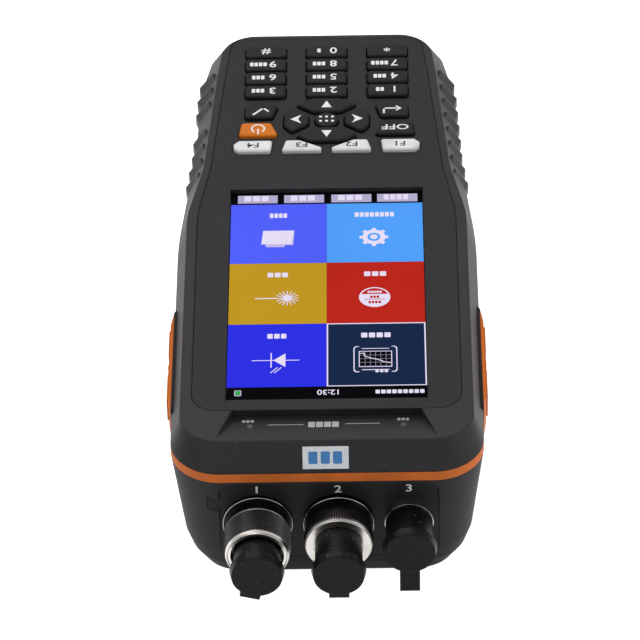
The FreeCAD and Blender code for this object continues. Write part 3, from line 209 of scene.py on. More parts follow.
def metal(name, color, roughness=0.25, brushed=(1, 1, 1), edge=0.15):
    s = Shade(name)
    streak = s.noise(900, 3, 0.6, s.stretched(brushed))
    cloud = s.noise(160, 3)
    tint = s.mix(cloud.between(0.3, 0.75), shaded(color, 0.82), color)
    normal = s.bump(streak, 0.08, grainDepth["metal"] * mm, s.rounded(edge * mm))
    return s.done({"Base Color": tint, "Metallic": 1.0,
                   "Roughness": streak * 0.16 + cloud * 0.1 + (roughness - 0.13), "Normal": normal})


def zonedMetal(name, knurled, plain, frontY, width, roughness=0.3):  # bright at the open end
    s = Shade(name)
    streak = s.noise(900, 3, 0.6, s.stretched((1, 6, 1)))
    cloud = s.noise(160, 3)
    along = s.node("ShaderNodeSeparateXYZ", {}, [s.place]).value(1)
    blur = zoneBlur["metal"] * mm
    openEnd = (frontY * mm + width * mm - along).between(-blur, blur)
    tint = s.mix(openEnd, knurled, plain)
    worn = s.mix(cloud.between(0.3, 0.75), tint, shaded(plain, 0.8))
    tint = s.mix(openEnd * 0.5, tint, worn)
    uneven = streak * 0.16 + cloud * 0.1 + (roughness - 0.13) - openEnd * 0.08
    normal = s.bump(streak, 0.08, grainDepth["metal"] * mm, s.rounded(0.15 * mm))
    return s.done({"Base Color": tint, "Metallic": 1.0, "Roughness": uneven, "Normal": normal})


def printInk(name, color, roughness=0.5):
    s = Shade(name)
    wear = s.noise(700, 2)
    tint = s.mix(wear.between(0.2, 0.6), shaded(color, 0.85), color)
    return s.done({"Base Color": tint, "Roughness": wear * 0.2 + (roughness - 0.1)})


def litPixels(name, color):
    s = Shade(name)
    soft = s.noise(30, 2)
    grid = s.noise(5200, 1)
    glow = s.mix((soft * 0.6 + grid * 0.4).between(0.3, 0.7), shaded(color, 0.92), color)
    return s.done({"Base Color": (0.0005, 0.0005, 0.0005, 1), "Emission Color": glow,
                   "Emission Strength": 1.0, "Roughness": grid * 0.04 + 0.3,
                   "Specular IOR Level": 0.006})


orangeColor = rgb(228, 119, 46)
adapterReach = 10.3  # from the port panel to the adapter's open end
coverShade = {"insideX": 43.85, "depth": 2.2}  # where shade is painted on a cover as a dark band: within, and at its end
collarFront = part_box("otdr_collar")[0][1] / mm
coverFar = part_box("right_cover")[1][1] / mm
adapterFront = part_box("port_panel")[0][1] / mm - adapterReach
finishes = {
    "face": mouldedPlastic("face_plastic", rgb(45, 45, 47), 0.22, 0.55, 0.35, 0.13, 0.4),
    "rim": mouldedPlastic("rim_plastic", rgb(46, 46, 48), 0.3, 0.5, 0.9, 0.17, 0.4),
    "shell": mouldedPlastic("shell_plastic", rgb(42, 42, 44), 0.35, 0.6, 0.6, 0.16),
    "panel": mouldedPlastic("panel_plastic", rgb(31, 31, 33), 0.18, 0.5, 0.3, 0.16, 0.3),
    "orange": rubber("orange_rubber", orangeColor, 0.6, 0.15, 0.5, 0.25),
    # the cover's dark band along its inner edge and end is painted shade
    "cover": coverRubber("cover_rubber", orangeColor, rgb(30, 30, 31), coverShade["insideX"],
                         coverFar - coverShade["depth"]),
    "cap": rubber("cap_rubber", rgb(16, 16, 17), 0.34, 0.3, 0.6, 0.1, 0.3),
    "keyBlack": rubber("key_rubber_black", rgb(28, 28, 30), 0.42, 0.18, 0.7, 0.13),
    "keyGrey": rubber("key_rubber_grey", rgb(238, 238, 238), 0.5, 0.12, 0.6),
    "keyOrange": rubber("key_rubber_orange", rgb(232, 128, 34), 0.5, 0.12, 0.6),
    "glass": mouldedPlastic("window_black", rgb(14, 14, 17), 0.0, 0.22, 0.2, 0.08),
    "board": mouldedPlastic("board_green", rgb(20, 84, 44), 0.1, 0.4, 0.1),
    "module": metal("module_metal", rgb(170, 172, 176), 0.4),
    "battery": mouldedPlastic("battery_sleeve", rgb(40, 66, 130), 0.1, 0.35, 0.4),
    "anodised": metal("anodised_black", rgb(44, 43, 43), 0.34, (1, 6, 1), 0.2),
    "nickel": metal("nickel_plate", rgb(200, 196, 192), 0.22, (1, 8, 1), 0.15),
    "darkNickel": metal("dark_nickel", rgb(84, 83, 83), 0.26, (1, 8, 1), 0.05),
    "collar": zonedMetal("collar_metal", rgb(66, 66, 67), rgb(206, 203, 199), collarFront,
                         width=1.2),
    "adapter": zonedMetal("adapter_metal", rgb(74, 74, 75), rgb(208, 206, 203), adapterFront,
                          width=0.5),
    "steel": metal("zinc_steel", rgb(176, 176, 180), 0.32),
    "clear": mouldedPlastic("clear_plastic", rgb(72, 74, 72), 0.05, 0.25, 0.2),
    "ink": printInk("white_ink", rgb(250, 250, 250)),
    "inkDark": printInk("dark_ink", rgb(36, 36, 38)),
    "inkGrey": printInk("grey_ink", rgb(186, 186, 188)),
    "sticker": printInk("sticker_paper", rgb(234, 240, 246), 0.4),
    "stickerBlue": printInk("sticker_blue", rgb(64, 132, 196), 0.4),
}

nodeFinish = {  # the keys that aren't here are grey or black
    "rear_case": "shell", "front_case": "rim", "seam_band": "orange", "face_plate": "face",
    "display_window": "glass", "display_module": "glass", "keypad_sheet": "cap",
    "keypad_board": "board", "main_board": "board", "optical_engine": "module",
    "battery_pack": "battery", "buzzer": "panel", "battery_door": "shell", "port_panel": "panel",
    "otdr_base": "anodised", "opm_base": "anodised", "vfl_barrel": "nickel", "lamp_pipes": "clear",
    "usb_socket": "steel", "power_socket": "panel", "case_screws": "steel", "door_screws": "steel",
    "otdr_collar": "collar", "opm_adapter": "adapter", "otdr_cap": "cap", "opm_cap": "cap",
    "vfl_cap": "cap", "right_cover": "cover", "left_cover": "cover", "key_power": "keyOrange",
}
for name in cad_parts:
    finish = nodeFinish.get(name)
    if not finish:
        finish = "keyGrey" if "function" in name else "keyBlack"
    item = bpy.data.objects[name]
    item.data.materials.clear()
    item.data.materials.append(finishes[finish])
print("finishes on", len(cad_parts), "nodes")


def addPiece(name, mesh, body, finish):
    piece = bpy.data.objects.new(name, mesh)
    bpy.context.scene.collection.objects.link(piece)
    mesh.materials.clear()
    mesh.materials.append(finishes[finish] if isinstance(finish, str) else finish)
    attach(piece, body)
    return piece


def slabs(shapes):  # shapes: (outline points, low z, high z); returns one mesh
    bm = bmesh.new()
    for points, low, high in shapes:
        bottom = [bm.verts.new((x * mm, y * mm, low * mm)) for x, y in points]
        top = [bm.verts.new((x * mm, y * mm, high * mm)) for x, y in points]
        bm.faces.new(reversed(bottom))
        bm.faces.new(top)
        for i in range(len(points)):
            j = (i + 1) % len(points)
            bm.faces.new((bottom[i], bottom[j], top[j], top[i]))
    bmesh.ops.recalc_face_normals(bm, faces=bm.faces)
    mesh = bpy.data.meshes.new("slabs")
    bm.to_mesh(mesh)
    bm.free()
    return mesh


def block(x0, y0, x1, y1, radius=0.0, steps=4):
    if radius <= 0:
        return [(x0, y0), (x1, y0), (x1, y1), (x0, y1)]
    points = []
    for cx, cy, start in ((x1 - radius, y0 + radius, -90), (x1 - radius, y1 - radius, 0),
                          (x0 + radius, y1 - radius, 90), (x0 + radius, y0 + radius, 180)):
        for i in range(steps + 1):
            a = math.radians(start + 90 * i / steps)
            points.append((cx + radius * math.cos(a), cy + radius * math.sin(a)))
    return points


def ringPoints(x, y, radius, count=32):
    return [(x + radius * math.cos(2 * math.pi * i / count),
             y + radius * math.sin(2 * math.pi * i / count)) for i in range(count)]


def stroke(points, width):  # a bent line drawn as overlapping bars
    bars = []
    for (x0, y0), (x1, y1) in zip(points, points[1:]):
        run = math.hypot(x1 - x0, y1 - y0)
        ux, uy = (x1 - x0) / run * width / 2, (y1 - y0) / run * width / 2
        bars.append([(x0 - ux + uy, y0 - uy - ux), (x1 + ux + uy, y1 + uy - ux),
                     (x1 + ux - uy, y1 + uy + ux), (x0 - ux - uy, y0 - uy + ux)])
    return bars


def arcBand(x, y, radius, start, end, width, steps=20):  # part of a ring, as one outline
    angles = [math.radians(start + (end - start) * i / steps) for i in range(steps + 1)]
    outer, inner = radius + width / 2, radius - width / 2
    points = [(x + outer * math.cos(a), y + outer * math.sin(a)) for a in angles]
    return points + [(x + inner * math.cos(a), y + inner * math.sin(a)) for a in reversed(angles)]


def turnedAbout(points, x, y):  # read from the keypad end
    return [(2 * x - px, 2 * y - py) for px, py in points]


lettering = {"depth": 0.02, "bolder": 0.014, "smooth": 4}  # bolder: a share of the size


def textMesh(words, size, matrix):  # centred on its own edges
    curve = bpy.data.curves.new("words", "FONT")
    curve.body = words
    curve.size = size
    curve.extrude = lettering["depth"] / 2
    curve.offset = size * lettering["bolder"]
    curve.align_x = "CENTER"
    curve.align_y = "CENTER"
    curve.resolution_u = lettering["smooth"]
    holder = bpy.data.objects.new("words", curve)
    bpy.context.scene.collection.objects.link(holder)
    bpy.context.view_layer.update()
    mesh = bpy.data.meshes.new_from_object(holder)
    bpy.data.objects.remove(holder)
    across = [vertex.co.x for vertex in mesh.vertices]
    up = [vertex.co.y for vertex in mesh.vertices]
    centred = Matrix.Translation((-(min(across) + max(across)) / 2, -(min(up) + max(up)) / 2, 0))
    mesh.transform(Matrix.Scale(mm, 4) @ matrix @ centred)
    return mesh


def flatText(words, size, x, y, z, stretch=1.0):  # read from the keypad end
    turn = Matrix.Rotation(math.pi, 4, "Z")
    wide = Matrix.Diagonal((stretch, 1, 1, 1))
    return textMesh(words, size, Matrix.Translation((x, y, z)) @ turn @ wide)


def joined(meshes):
    bm = bmesh.new()
    for mesh in meshes:
        bm.from_mesh(mesh)
        bpy.data.meshes.remove(mesh)
    mesh = bpy.data.meshes.new("joined")
    bm.to_mesh(mesh)
    bm.free()
    return mesh


def corners(node):
    low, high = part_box(node)
    return [c / mm for c in low], [c / mm for c in high]


windowTop = corners("display_window")[1][2]
screen = {"width": 56.16, "length": 93.6, "middleY": -27.5, "farBar": 0.056, "nearBar": 0.055,
          "lift": 0.012, "layer": 0.03, "solid": 0.6, "gap": 0.03}
screenColors = {
    "violet": rgb(82, 98, 254), "sky": rgb(82, 162, 254), "gold": rgb(196, 154, 34),
    "red": rgb(190, 38, 26), "blue": rgb(44, 48, 230), "navy": rgb(22, 40, 72),
    "tab": rgb(184, 176, 210), "black": rgb(3, 3, 6), "white": rgb(234, 226, 250),
    "lilac": rgb(200, 190, 236), "green": rgb(60, 170, 84),
}
pixels = {name: litPixels("pixels_" + name, color) for name, color in screenColors.items()}
drawn = {name: [] for name in screenColors}


def draw(color, points, level):
    low = windowTop + screen["lift"] + screen["layer"] * level
    drawn[color].append((points, low, low + screen["layer"] * screen["solid"]))


left = -screen["width"] / 2
near = screen["middleY"] - screen["length"] / 2
far = near + screen["length"]


def tileAt(column, row):  # the corners of one of the six tiles
    low = near + screen["length"] * screen["nearBar"]
    high = near + screen["length"] * (1 - screen["farBar"])
    step = (high - low) / 3
    x0 = left + column * screen["width"] / 2
    return x0, low + step * row, x0 + screen["width"] / 2, low + step * (row + 1)


draw("black", block(left, near, -left, far), 0)


def wordBlocks(color, middle, y, letters, width, height, level):  # blocks in place of a word
    step = width / letters
    for i in range(letters):
        x = middle - width / 2 + step * i
        letter = block(x + step * 0.1, y - height / 2, x + step * 0.9, y + height / 2, 0.25)
        draw(color, letter, level)


tileWord = {"fromFar": 5.4, "shift": -0.1, "height": 2.1}
tiles = (("blue", 0, 0, 3, 5.8), ("navy", 1, 0, 4, 8.8), ("gold", 0, 1, 3, 6.3),
         ("red", 1, 1, 3, 6.8), ("violet", 0, 2, 4, 5.3), ("sky", 1, 2, 8, 11.8))
for color, column, row, letters, width in tiles:  # letters and width: of the tile's word
    x0, y0, x1, y1 = tileAt(column, row)
    gap = screen["gap"]
    draw(color, block(x0 + gap, y0 + gap, x1 - gap, y1 - gap), 1)
    wordBlocks("white", (x0 + x1) / 2 + tileWord["shift"], y1 - tileWord["fromFar"], letters,
               width, tileWord["height"], 2)
tab = {"low": 4.6, "high": 0.9, "wordY": 2.4, "shift": -0.4, "wordWidth": 7.6, "height": 2.5}
tabs = ((3, 0.035, 0.243), (3, 0.277, 0.486), (3, 0.524, 0.734), (4, 0.764, 0.975))
for letters, start, end in tabs:  # start and end: shares of the screen's width
    x0, x1 = left + start * screen["width"], left + end * screen["width"]
    draw("tab", block(x0, far - tab["low"], x1, far - tab["high"]), 1)
    wordBlocks("white", (x0 + x1) / 2 + tab["shift"], far - tab["wordY"], letters,
               tab["wordWidth"], tab["height"], 2)

x0, y0, x1, y1 = tileAt(1, 0)  # selected tile's frame
for points in (block(x0, y0, x1, y0 + 0.35), block(x0, y1 - 0.4, x1, y1),
               block(x0, y0, x0 + 0.4, y1), block(x1 - 0.4, y0, x1, y1)):
    draw("white", points, 2)


icon = {"shift": -0.3, "up": 0.42}  # up: a share of the tile's height


def middleOf(column, row):  # where a tile's icon is centred
    x0, y0, x1, y1 = tileAt(column, row)
    return (x0 + x1) / 2 + icon["shift"], y0 + (y1 - y0) * icon["up"]


def petals(x, y, count, inner, outer, width):  # bars that point outwards
    bars = []
    for i in range(count):
        a = 2 * math.pi * i / count
        bars += stroke([(x + inner * math.cos(a), y + inner * math.sin(a)),
                        (x + outer * math.cos(a), y + outer * math.sin(a))], width)
    return bars


x, y = middleOf(0, 2)  # sheets
draw("lilac", block(x - 3.4, y - 4.1, x + 2.2, y - 2.6, 0.4), 2)
draw("lilac", [(x - 3.6, y - 3.2), (x + 4.6, y - 3.2), (x + 4.9, y + 3.3), (x - 3.0, y + 3.3)], 3)
draw("white", [(x - 4.7, y - 2.8), (x + 4.1, y - 2.8), (x + 4.8, y + 3.5), (x - 4.2, y + 3.5)], 4)
x, y = middleOf(1, 2)  # gear
for bar in petals(x, y, 8, 2.8, 3.6, 1.2):
    draw("white", bar, 2)
draw("white", ringPoints(x, y, 3.4), 3)
draw("sky", ringPoints(x, y, 1.9), 4)
draw("white", ringPoints(x, y, 1.1), 5)
x, y = middleOf(0, 1)  # starburst and its beam
x += 3.0
for i, bar in enumerate(petals(x, y, 16, 0.6, 3.2, 0.28)):
    draw("white", bar, 2 + i % 2)
draw("white", ringPoints(x, y, 1.3), 4)
draw("white", block(x - 9.2, y - 0.22, x - 3, y + 0.22), 2)
x, y = middleOf(1, 1)  # round meter
draw("white", ringPoints(x, y, 4.5, 40), 2)
draw("red", [(x + 4.0 * math.cos(math.radians(a)), y + 4.0 * math.sin(math.radians(a)))
             for a in range(20, 161, 10)], 3)
wordBlocks("white", x, y + 2.3, 5, 4.2, 1.0, 4)
wordBlocks("red", x, y + 0.1, 3, 2.8, 1.1, 3)
draw("red", block(x - 2.9, y - 1.1, x + 2.9, y - 0.85), 3)
wordBlocks("red", x, y - 2.3, 4, 3.8, 1.1, 3)
x, y = middleOf(0, 0)  # emitter
draw("white", block(x - 6.8, y - 0.15, x + 6.6, y + 0.15), 2)
draw("white", [(x - 0.7, y), (x + 2.7, y - 3.0), (x + 2.7, y + 3.0)], 3)
draw("white", block(x - 1.5, y - 3.2, x - 1.15, y + 3.2), 3)
for shift in (0, 1.1):
    draw("white", stroke([(x + 0.4 + shift, y - 3.2), (x - 1.4 + shift, y - 5.4)], 0.3)[0], 2)
x, y = middleOf(1, 0)  # rugged instrument with a falling trace


def instrumentOutline(grow):
    high, low, wide, waist = 5.7 + grow, 4.8 + grow, 6.2 + grow, 4.7 + grow
    half = [(waist - 0.6, low), (waist, high), (wide - 0.6, high), (wide, high - 0.7)]
    half += [(px, -py) for px, py in reversed(half)]
    return [(x + px, y + py) for px, py in half] + [(x - px, y + py) for px, py in reversed(half)]


draw("white", instrumentOutline(0.0), 3)
draw("navy", instrumentOutline(-0.32), 4)
draw("white", block(x - 4.7, y - 3.5, x + 4.7, y + 3.5), 5)
draw("black", block(x - 4.45, y - 3.2, x + 4.45, y + 3.2), 6)
for i in range(1, 6):  # the trace's grid
    draw("tab", block(x - 4.45 + i * 1.48, y - 3.2, x - 4.37 + i * 1.48, y + 3.2), 7)
for i in range(1, 4):
    draw("tab", block(x - 4.45, y - 3.2 + i * 1.6, x + 4.45, y - 3.12 + i * 1.6), 7)
for bar in stroke([(x - 4.2, y + 2.4), (x - 3.2, y + 2.5), (x - 3.0, y + 1.0), (x + 1.8, y - 0.9),
                   (x + 2.0, y - 1.3), (x + 4.2, y - 1.9)], 0.3):
    draw("white", bar, 8)
for i in range(3):
    draw("white", ringPoints(x + 0.4 + i * 1.3, y - 5.4, 0.55, 16), 5)
draw("tab", block(left + 2.2, near + 1.4, left + 4.2, near + 3.9, 0.4), 2)  # battery mark
draw("green", block(left + 2.5, near + 1.7, left + 3.9, near + 3.6, 0.3), 3)
wordBlocks("white", -left - 7.6, near + 2.6, 9, 14.0, 1.6, 2)
for color, shapes in drawn.items():
    addPiece("screen_" + color, slabs(shapes), "housing", pixels[color])
clock = flatText("12:30", 3.0, left + 28.4, near + 2.6, windowTop + 0.1)
addPiece("screen_clock", clock, "housing", pixels["white"])
print("display drawn")

legend = {"lift": 0.02, "below": 0.01, "above": 0.02, "digit": 4.2, "word": 3.5,
          "function": 3.2, "digitX": 2.1, "lettersX": -2.3, "letterStep": 1.35,
          "letterGap": 0.14, "letterHalf": 0.95, "letterRound": 0.25, "tickLine": 0.65,
          "arrowLine": 0.6, "ringLine": 0.52}


def keyTop(name):
    low, high = corners(name)
    return (low[0] + high[0]) / 2, (low[1] + high[1]) / 2, high[2] + legend["lift"]


def printOn(name, kind, mesh, finish="ink"):
    addPiece(kind + "_" + name, mesh, name + "_body", finish)


def marks(name, shapes, kind="legend"):
    z = keyTop(name)[2]
    low, high = z - legend["below"], z + legend["above"]
    printOn(name, kind, slabs([(points, low, high) for points in shapes]))


letterCount = {"key_1": 2, "key_2": 3, "key_3": 3, "key_4": 3, "key_5": 3, "key_6": 3, "key_7": 4,
               "key_8": 3, "key_9": 4, "key_0": 1}
digitKeys = [(str(i), "key_%d" % i) for i in range(10)] + [("*", "key_star"), ("#", "key_hash")]
for word, name in digitKeys:
    x, y, z = keyTop(name)
    count = letterCount.get(name, 0)
    shift = legend["digitX"] if count else 0
    printOn(name, "legend", flatText(word, legend["digit"], x + shift, y, z, stretch=1.1))
    if count:  # small blocks in place of the letters
        blocks = []
        for i in range(count):
            start = x + legend["lettersX"] + (i - count / 2) * legend["letterStep"]
            blocks.append(block(start + legend["letterGap"], y - legend["letterHalf"],
                                start + legend["letterStep"] - legend["letterGap"],
                                y + legend["letterHalf"], legend["letterRound"]))
        marks(name, blocks, "letters")
x, y, z = keyTop("key_off")
printOn("key_off", "legend", flatText("OFF", legend["word"], x, y, z, stretch=1.35))
x, y, z = keyTop("key_enter")
tick = stroke([(x - 2.0, y + 0.1), (x - 0.6, y - 1.4), (x + 2.3, y + 1.7)], legend["tickLine"])
marks("key_enter", [turnedAbout(bar, x, y) for bar in tick])
x, y, z = keyTop("key_escape")  # return arrow
arrow = stroke([(x + 2.4, y + 1.6), (x + 2.4, y - 0.5), (x - 1.4, y - 0.5)], legend["arrowLine"])
arrow.append([(x - 3.0, y - 0.5), (x - 1.2, y - 1.9), (x - 1.2, y + 0.9)])
marks("key_escape", [turnedAbout(bar, x, y) for bar in arrow])
x, y, z = keyTop("key_power")
standby = [arcBand(x, y, 1.9, -235, 55, legend["ringLine"])]
standby += stroke([(x, y + 0.3), (x, y + 2.5)], legend["ringLine"])
marks("key_power", [turnedAbout(bar, x, y) for bar in standby])
arrowHead = {"tip": 1.8, "tail": -1.5, "upHalf": 1.55, "sideHalf": 2.1, "notch": 0.35}
arrowKeys = (("key_down", 0, 1), ("key_up", 0, -1), ("key_left", 1, 0), ("key_right", -1, 0))
for name, ux, uy in arrowKeys:
    x, y, z = keyTop(name)
    tip, tail = arrowHead["tip"], arrowHead["tail"]
    half = arrowHead["sideHalf"] if ux else arrowHead["upHalf"]
    back = tail * arrowHead["notch"] if ux else tail  # only the side arrows are notched
    marks(name, [[(x + ux * tip, y + uy * tip),
                  (x + ux * tail - uy * half, y + uy * tail + ux * half),
                  (x + ux * back, y + uy * back),
                  (x + ux * tail + uy * half, y + uy * tail - ux * half)]])
x, y, z = keyTop("key_centre")
dot = {"half": 0.42, "stepX": 1.8, "stepY": 1.05, "round": 0.15}
dots = []
for column in (-1, 0, 1):
    for row in (-1, 1):
        dotX, dotY = x + column * dot["stepX"], y + row * dot["stepY"]
        dots.append(block(dotX - dot["half"], dotY - dot["half"], dotX + dot["half"],
                          dotY + dot["half"], dot["round"]))
marks("key_centre", dots)
for i in range(1, 5):
    name = "key_function_%d" % i
    x, y, z = keyTop(name)
    words = flatText("F" + str(i), legend["function"], x, y, z, stretch=1.25)
    printOn(name, "legend", words, "inkDark")
print("legends printed")

ledge = {"farY": -80.8, "run": 11.6, "depth": 2.9, "top": 45.0, "lift": 0.02, "thick": 0.03,
         "gap": 0.15}


def onLedge(points):  # laid on the slope between the display and the keypad
    mesh = slabs([(points, 0, ledge["thick"])])
    for vertex in mesh.vertices:
        share = (vertex.co.y / mm - (ledge["farY"] - ledge["run"])) / ledge["run"]
        vertex.co.z += (ledge["top"] - ledge["depth"] * share + ledge["lift"]) * mm
    return mesh


ledgeMarks = [block(-16.4, -85.1, -6.4, -84.8), block(5.2, -84.9, 14.8, -84.6)]
ledgeWords = ((-0.9, -85.0, 4, 2.2, 3.2), (-21.9, -82.6, 3, 1.2, 1.5), (21.2, -82.4, 3, 1.2, 1.5))
for middle, y, count, width, height in ledgeWords:  # blocks in place of words
    for i in range(count):
        start = middle + (i - count / 2) * width
        ledgeMarks.append(block(start + ledge["gap"], y - height / 2,
                                start + width - ledge["gap"], y + height / 2, 0.3))
marksOnLedge = [onLedge(points) for points in ledgeMarks]
addPiece("ledge_print", joined(marksOnLedge), "housing", "inkGrey")

portPanel = corners("port_panel")
panelFace = portPanel[0][1]
portNumber = {"size": 3.6, "wide": 1.2, "drop": 2.2, "lift": 0.015}  # drop: below the panel's edge


def onPanel(words, x, z):
    stand = Matrix.Rotation(math.pi / 2, 4, "X")
    place = Matrix.Translation((x, panelFace - portNumber["lift"], z))
    wide = Matrix.Diagonal((portNumber["wide"], 1, 1, 1))
    return textMesh(words, portNumber["size"], place @ stand @ wide)


labelZ = portPanel[1][2] - portNumber["drop"]
for number, node in (("1", "otdr_base"), ("2", "opm_base"), ("3", "vfl_barrel")):
    low, high = corners(node)
    words = onPanel(number, (low[0] + high[0]) / 2, labelZ)
    addPiece("port_number_" + number, words, "housing", "ink")

slope = {"topY": -93.7, "topZ": 45.0, "lowY": -99.5, "lowZ": 37.9, "thick": 0.05}


def onSlope(points, lift):  # points: x across, then up the slope from its foot, in mm
    run = slope["topY"] - slope["lowY"]
    rise = slope["topZ"] - slope["lowZ"]
    length = math.hypot(run, rise)
    mesh = slabs([(points, lift, lift + slope["thick"])])
    along = Vector((0, run / length, rise / length))
    out = Vector((0, -rise / length, run / length))
    foot = Vector((0, slope["lowY"], slope["lowZ"])) * mm
    for vertex in mesh.vertices:
        co = vertex.co.copy()
        vertex.co = foot + Vector((co.x, 0, 0)) + along * co.y + out * co.z
    return mesh


paper = onSlope(block(-6.7, 1.2, 6.0, 7.4), 0.01)
addPiece("sticker", paper, "housing", "sticker")
stickerMarks = [block(-5.1 + i * 3.4, 2.6, -2.6 + i * 3.4, 6.0, 0.4) for i in range(3)]
stickerPrint = joined([onSlope(points, 0.07) for points in stickerMarks])
addPiece("sticker_print", stickerPrint, "housing", "stickerBlue")
print("prints placed")


class Graph(Tree):  # a geometry node tree with named inputs
    def __init__(self, name, inputs):
        super().__init__(bpy.data.node_groups.new(name, "GeometryNodeTree"))
        sockets = self.tree.interface
        sockets.new_socket("Geometry", in_out="OUTPUT", socket_type="NodeSocketGeometry")
        self.keys = {}
        for label, kind, amount in inputs:
            socket = sockets.new_socket(label, in_out="INPUT", socket_type=kind)
            if amount is not None:
                socket.default_value = amount
            self.keys[label] = socket.identifier
        self.entry = self.node("NodeGroupInput")

    def given(self, label):
        return self.entry.value(label)

    def vector(self, x, y, z):
        return self.node("ShaderNodeCombineXYZ", {}, [x, y, z]).value(0)

    def close(self, geometry, material):
        real = self.node("GeometryNodeRealizeInstances", {}, [geometry]).value(0)
        painted = self.node("GeometryNodeSetMaterial", {}, {0: real, "Material": material})
        self.node("NodeGroupOutput", {}, [painted.value(0)])


def knurlTree():  # rows of teeth around a barrel that stands on Z
    graph = Graph("knurl_band", (
        ("Radius", "NodeSocketFloat", 0.009), ("Length", "NodeSocketFloat", 0.004),
        ("Around", "NodeSocketInt", 60), ("Rows", "NodeSocketInt", 1),
        ("Tooth Width", "NodeSocketFloat", 0.0005), ("Tooth Length", "NodeSocketFloat", 0.0005),
        ("Tooth Height", "NodeSocketFloat", 0.0003), ("Ridge", "NodeSocketFloat", 0.12),
        ("Turn", "NodeSocketFloat", 0.0), ("Material", "NodeSocketMaterial", None)))
    around, rows, radius = graph.given("Around"), graph.given("Rows"), graph.given("Radius")
    tooth = graph.node("GeometryNodeMeshCone", {"fill_type": "NGON"}, {  # its foot: a unit square
        "Vertices": 4, "Radius Top": graph.given("Ridge"), "Radius Bottom": 0.7071,
        "Depth": 1.0}).value(0)
    spin = graph.vector(0.0, 0.0, graph.given("Turn"))
    spun = graph.node("GeometryNodeTransform", {}, {0: tooth, "Rotation": spin}).value(0)
    points = graph.node("GeometryNodePoints", {}, {"Count": around * rows}).value(0)
    index = graph.node("GeometryNodeInputIndex").value(0)
    row = (index / around).math("FLOOR")
    angle = (index + row * 0.5) / around * (2 * math.pi)  # each row is half a tooth further round
    place = graph.vector(angle.math("COSINE") * radius, angle.math("SINE") * radius,
                         (row + 0.5) / rows * graph.given("Length"))
    placed = graph.node("GeometryNodeSetPosition", {}, {0: points, "Position": place}).value(0)
    turn = graph.vector(0.0, math.pi / 2, angle)
    outwards = graph.node("FunctionNodeEulerToRotation", {}, [turn])
    size = graph.vector(graph.given("Tooth Length"), graph.given("Tooth Width"),
                        graph.given("Tooth Height"))
    teeth = graph.node("GeometryNodeInstanceOnPoints", {}, {
        "Points": placed, "Instance": spun, "Rotation": outwards.value(0), "Scale": size})
    graph.close(teeth.value(0), graph.given("Material"))
    return graph


knurl = knurlTree()


def knurlBand(name, node, body, backY, frontY, sizes):
    low, high = corners(node)
    x, z = (low[0] + high[0]) / 2, (low[2] + high[2]) / 2
    holder = bpy.data.objects.new(name + "_maker", bpy.data.meshes.new(name))
    bpy.context.scene.collection.objects.link(holder)
    work = holder.modifiers.new("knurl", "NODES")
    work.node_group = knurl.tree
    for label, amount in sizes.items():
        work[knurl.keys[label]] = amount
    work[knurl.keys["Length"]] = (backY - frontY) * mm
    bpy.context.view_layer.update()
    shaped = holder.evaluated_get(bpy.context.evaluated_depsgraph_get())
    mesh = bpy.data.meshes.new_from_object(shaped)
    bpy.data.objects.remove(holder)
    stand = Matrix.Rotation(math.pi / 2, 4, "X")  # tree's +Z becomes -Y
    mesh.transform(Matrix.Translation((x * mm, backY * mm, z * mm)) @ stand)
    addPiece(name, mesh, body, sizes["Material"])


def radiusOf(node):  # half its width
    low, high = corners(node)
    return (high[0] - low[0]) / 2


toothLift = 0.02  # from the barrel to the teeth's feet
knurlEnd = {"collarBack": 0.5, "collarFront": 1.0, "adapter": 0.3}  # the plain band at each end
collarBack = corners("otdr_collar")[1][1]
collarRadius = radiusOf("otdr_collar")
collarEnds = (collarBack - knurlEnd["collarBack"], collarFront + knurlEnd["collarFront"])
knurlBand("collar_knurl", "otdr_collar", "test_port_collar", *collarEnds, {
    "Radius": (collarRadius + toothLift) * mm, "Around": 76, "Rows": 13, "Tooth Width": 0.5 * mm,
    "Tooth Length": 0.86 * mm, "Tooth Height": 0.42 * mm, "Material": finishes["darkNickel"]})
adapterBack = corners("opm_adapter")[1][1]
adapterRadius = radiusOf("opm_adapter")
adapterEnds = (adapterBack - knurlEnd["adapter"], adapterFront + knurlEnd["adapter"])
knurlBand("adapter_knurl", "opm_adapter", "power_meter_adapter", *adapterEnds, {
    "Radius": (adapterRadius + toothLift) * mm, "Around": 84, "Rows": 1, "Tooth Width": 0.64 * mm,
    "Tooth Length": 4.8 * mm, "Tooth Height": 0.34 * mm, "Ridge": 0.46, "Turn": math.pi / 4,
    "Material": finishes["adapter"]})


def turnedPiece(name, node, body, profile, steps=72):  # profile: (radius, y) in order
    low, high = corners(node)
    x, z = (low[0] + high[0]) / 2, (low[2] + high[2]) / 2
    bm = bmesh.new()
    rows = []
    for i in range(steps):
        a = 2 * math.pi * i / steps
        rows.append([bm.verts.new(Vector((x + r * math.cos(a), y, z + r * math.sin(a))) * mm)
                     for r, y in profile])
    count = len(profile)
    for i in range(steps):
        row, after = rows[i], rows[(i + 1) % steps]
        for k in range(count):
            bm.faces.new((row[k], row[(k + 1) % count], after[(k + 1) % count], after[k]))
    bmesh.ops.recalc_face_normals(bm, faces=bm.faces)
    mesh = bpy.data.meshes.new(name)
    bm.to_mesh(mesh)
    bm.free()
    addPiece(name, mesh, body, "nickel")


def bead(radius, y, tube=0.13, sides=8):  # a round edge
    turns = [2 * math.pi / sides * k for k in range(sides)]
    return [(radius + tube * math.cos(a), y + tube * math.sin(a)) for a in turns]


def flatRing(inner, outer, backY, frontY, bevel=0.12):
    return [(inner, backY), (inner, frontY + bevel), (inner + bevel, frontY),
            (outer - bevel, frontY), (outer, frontY + bevel), (outer, backY)]


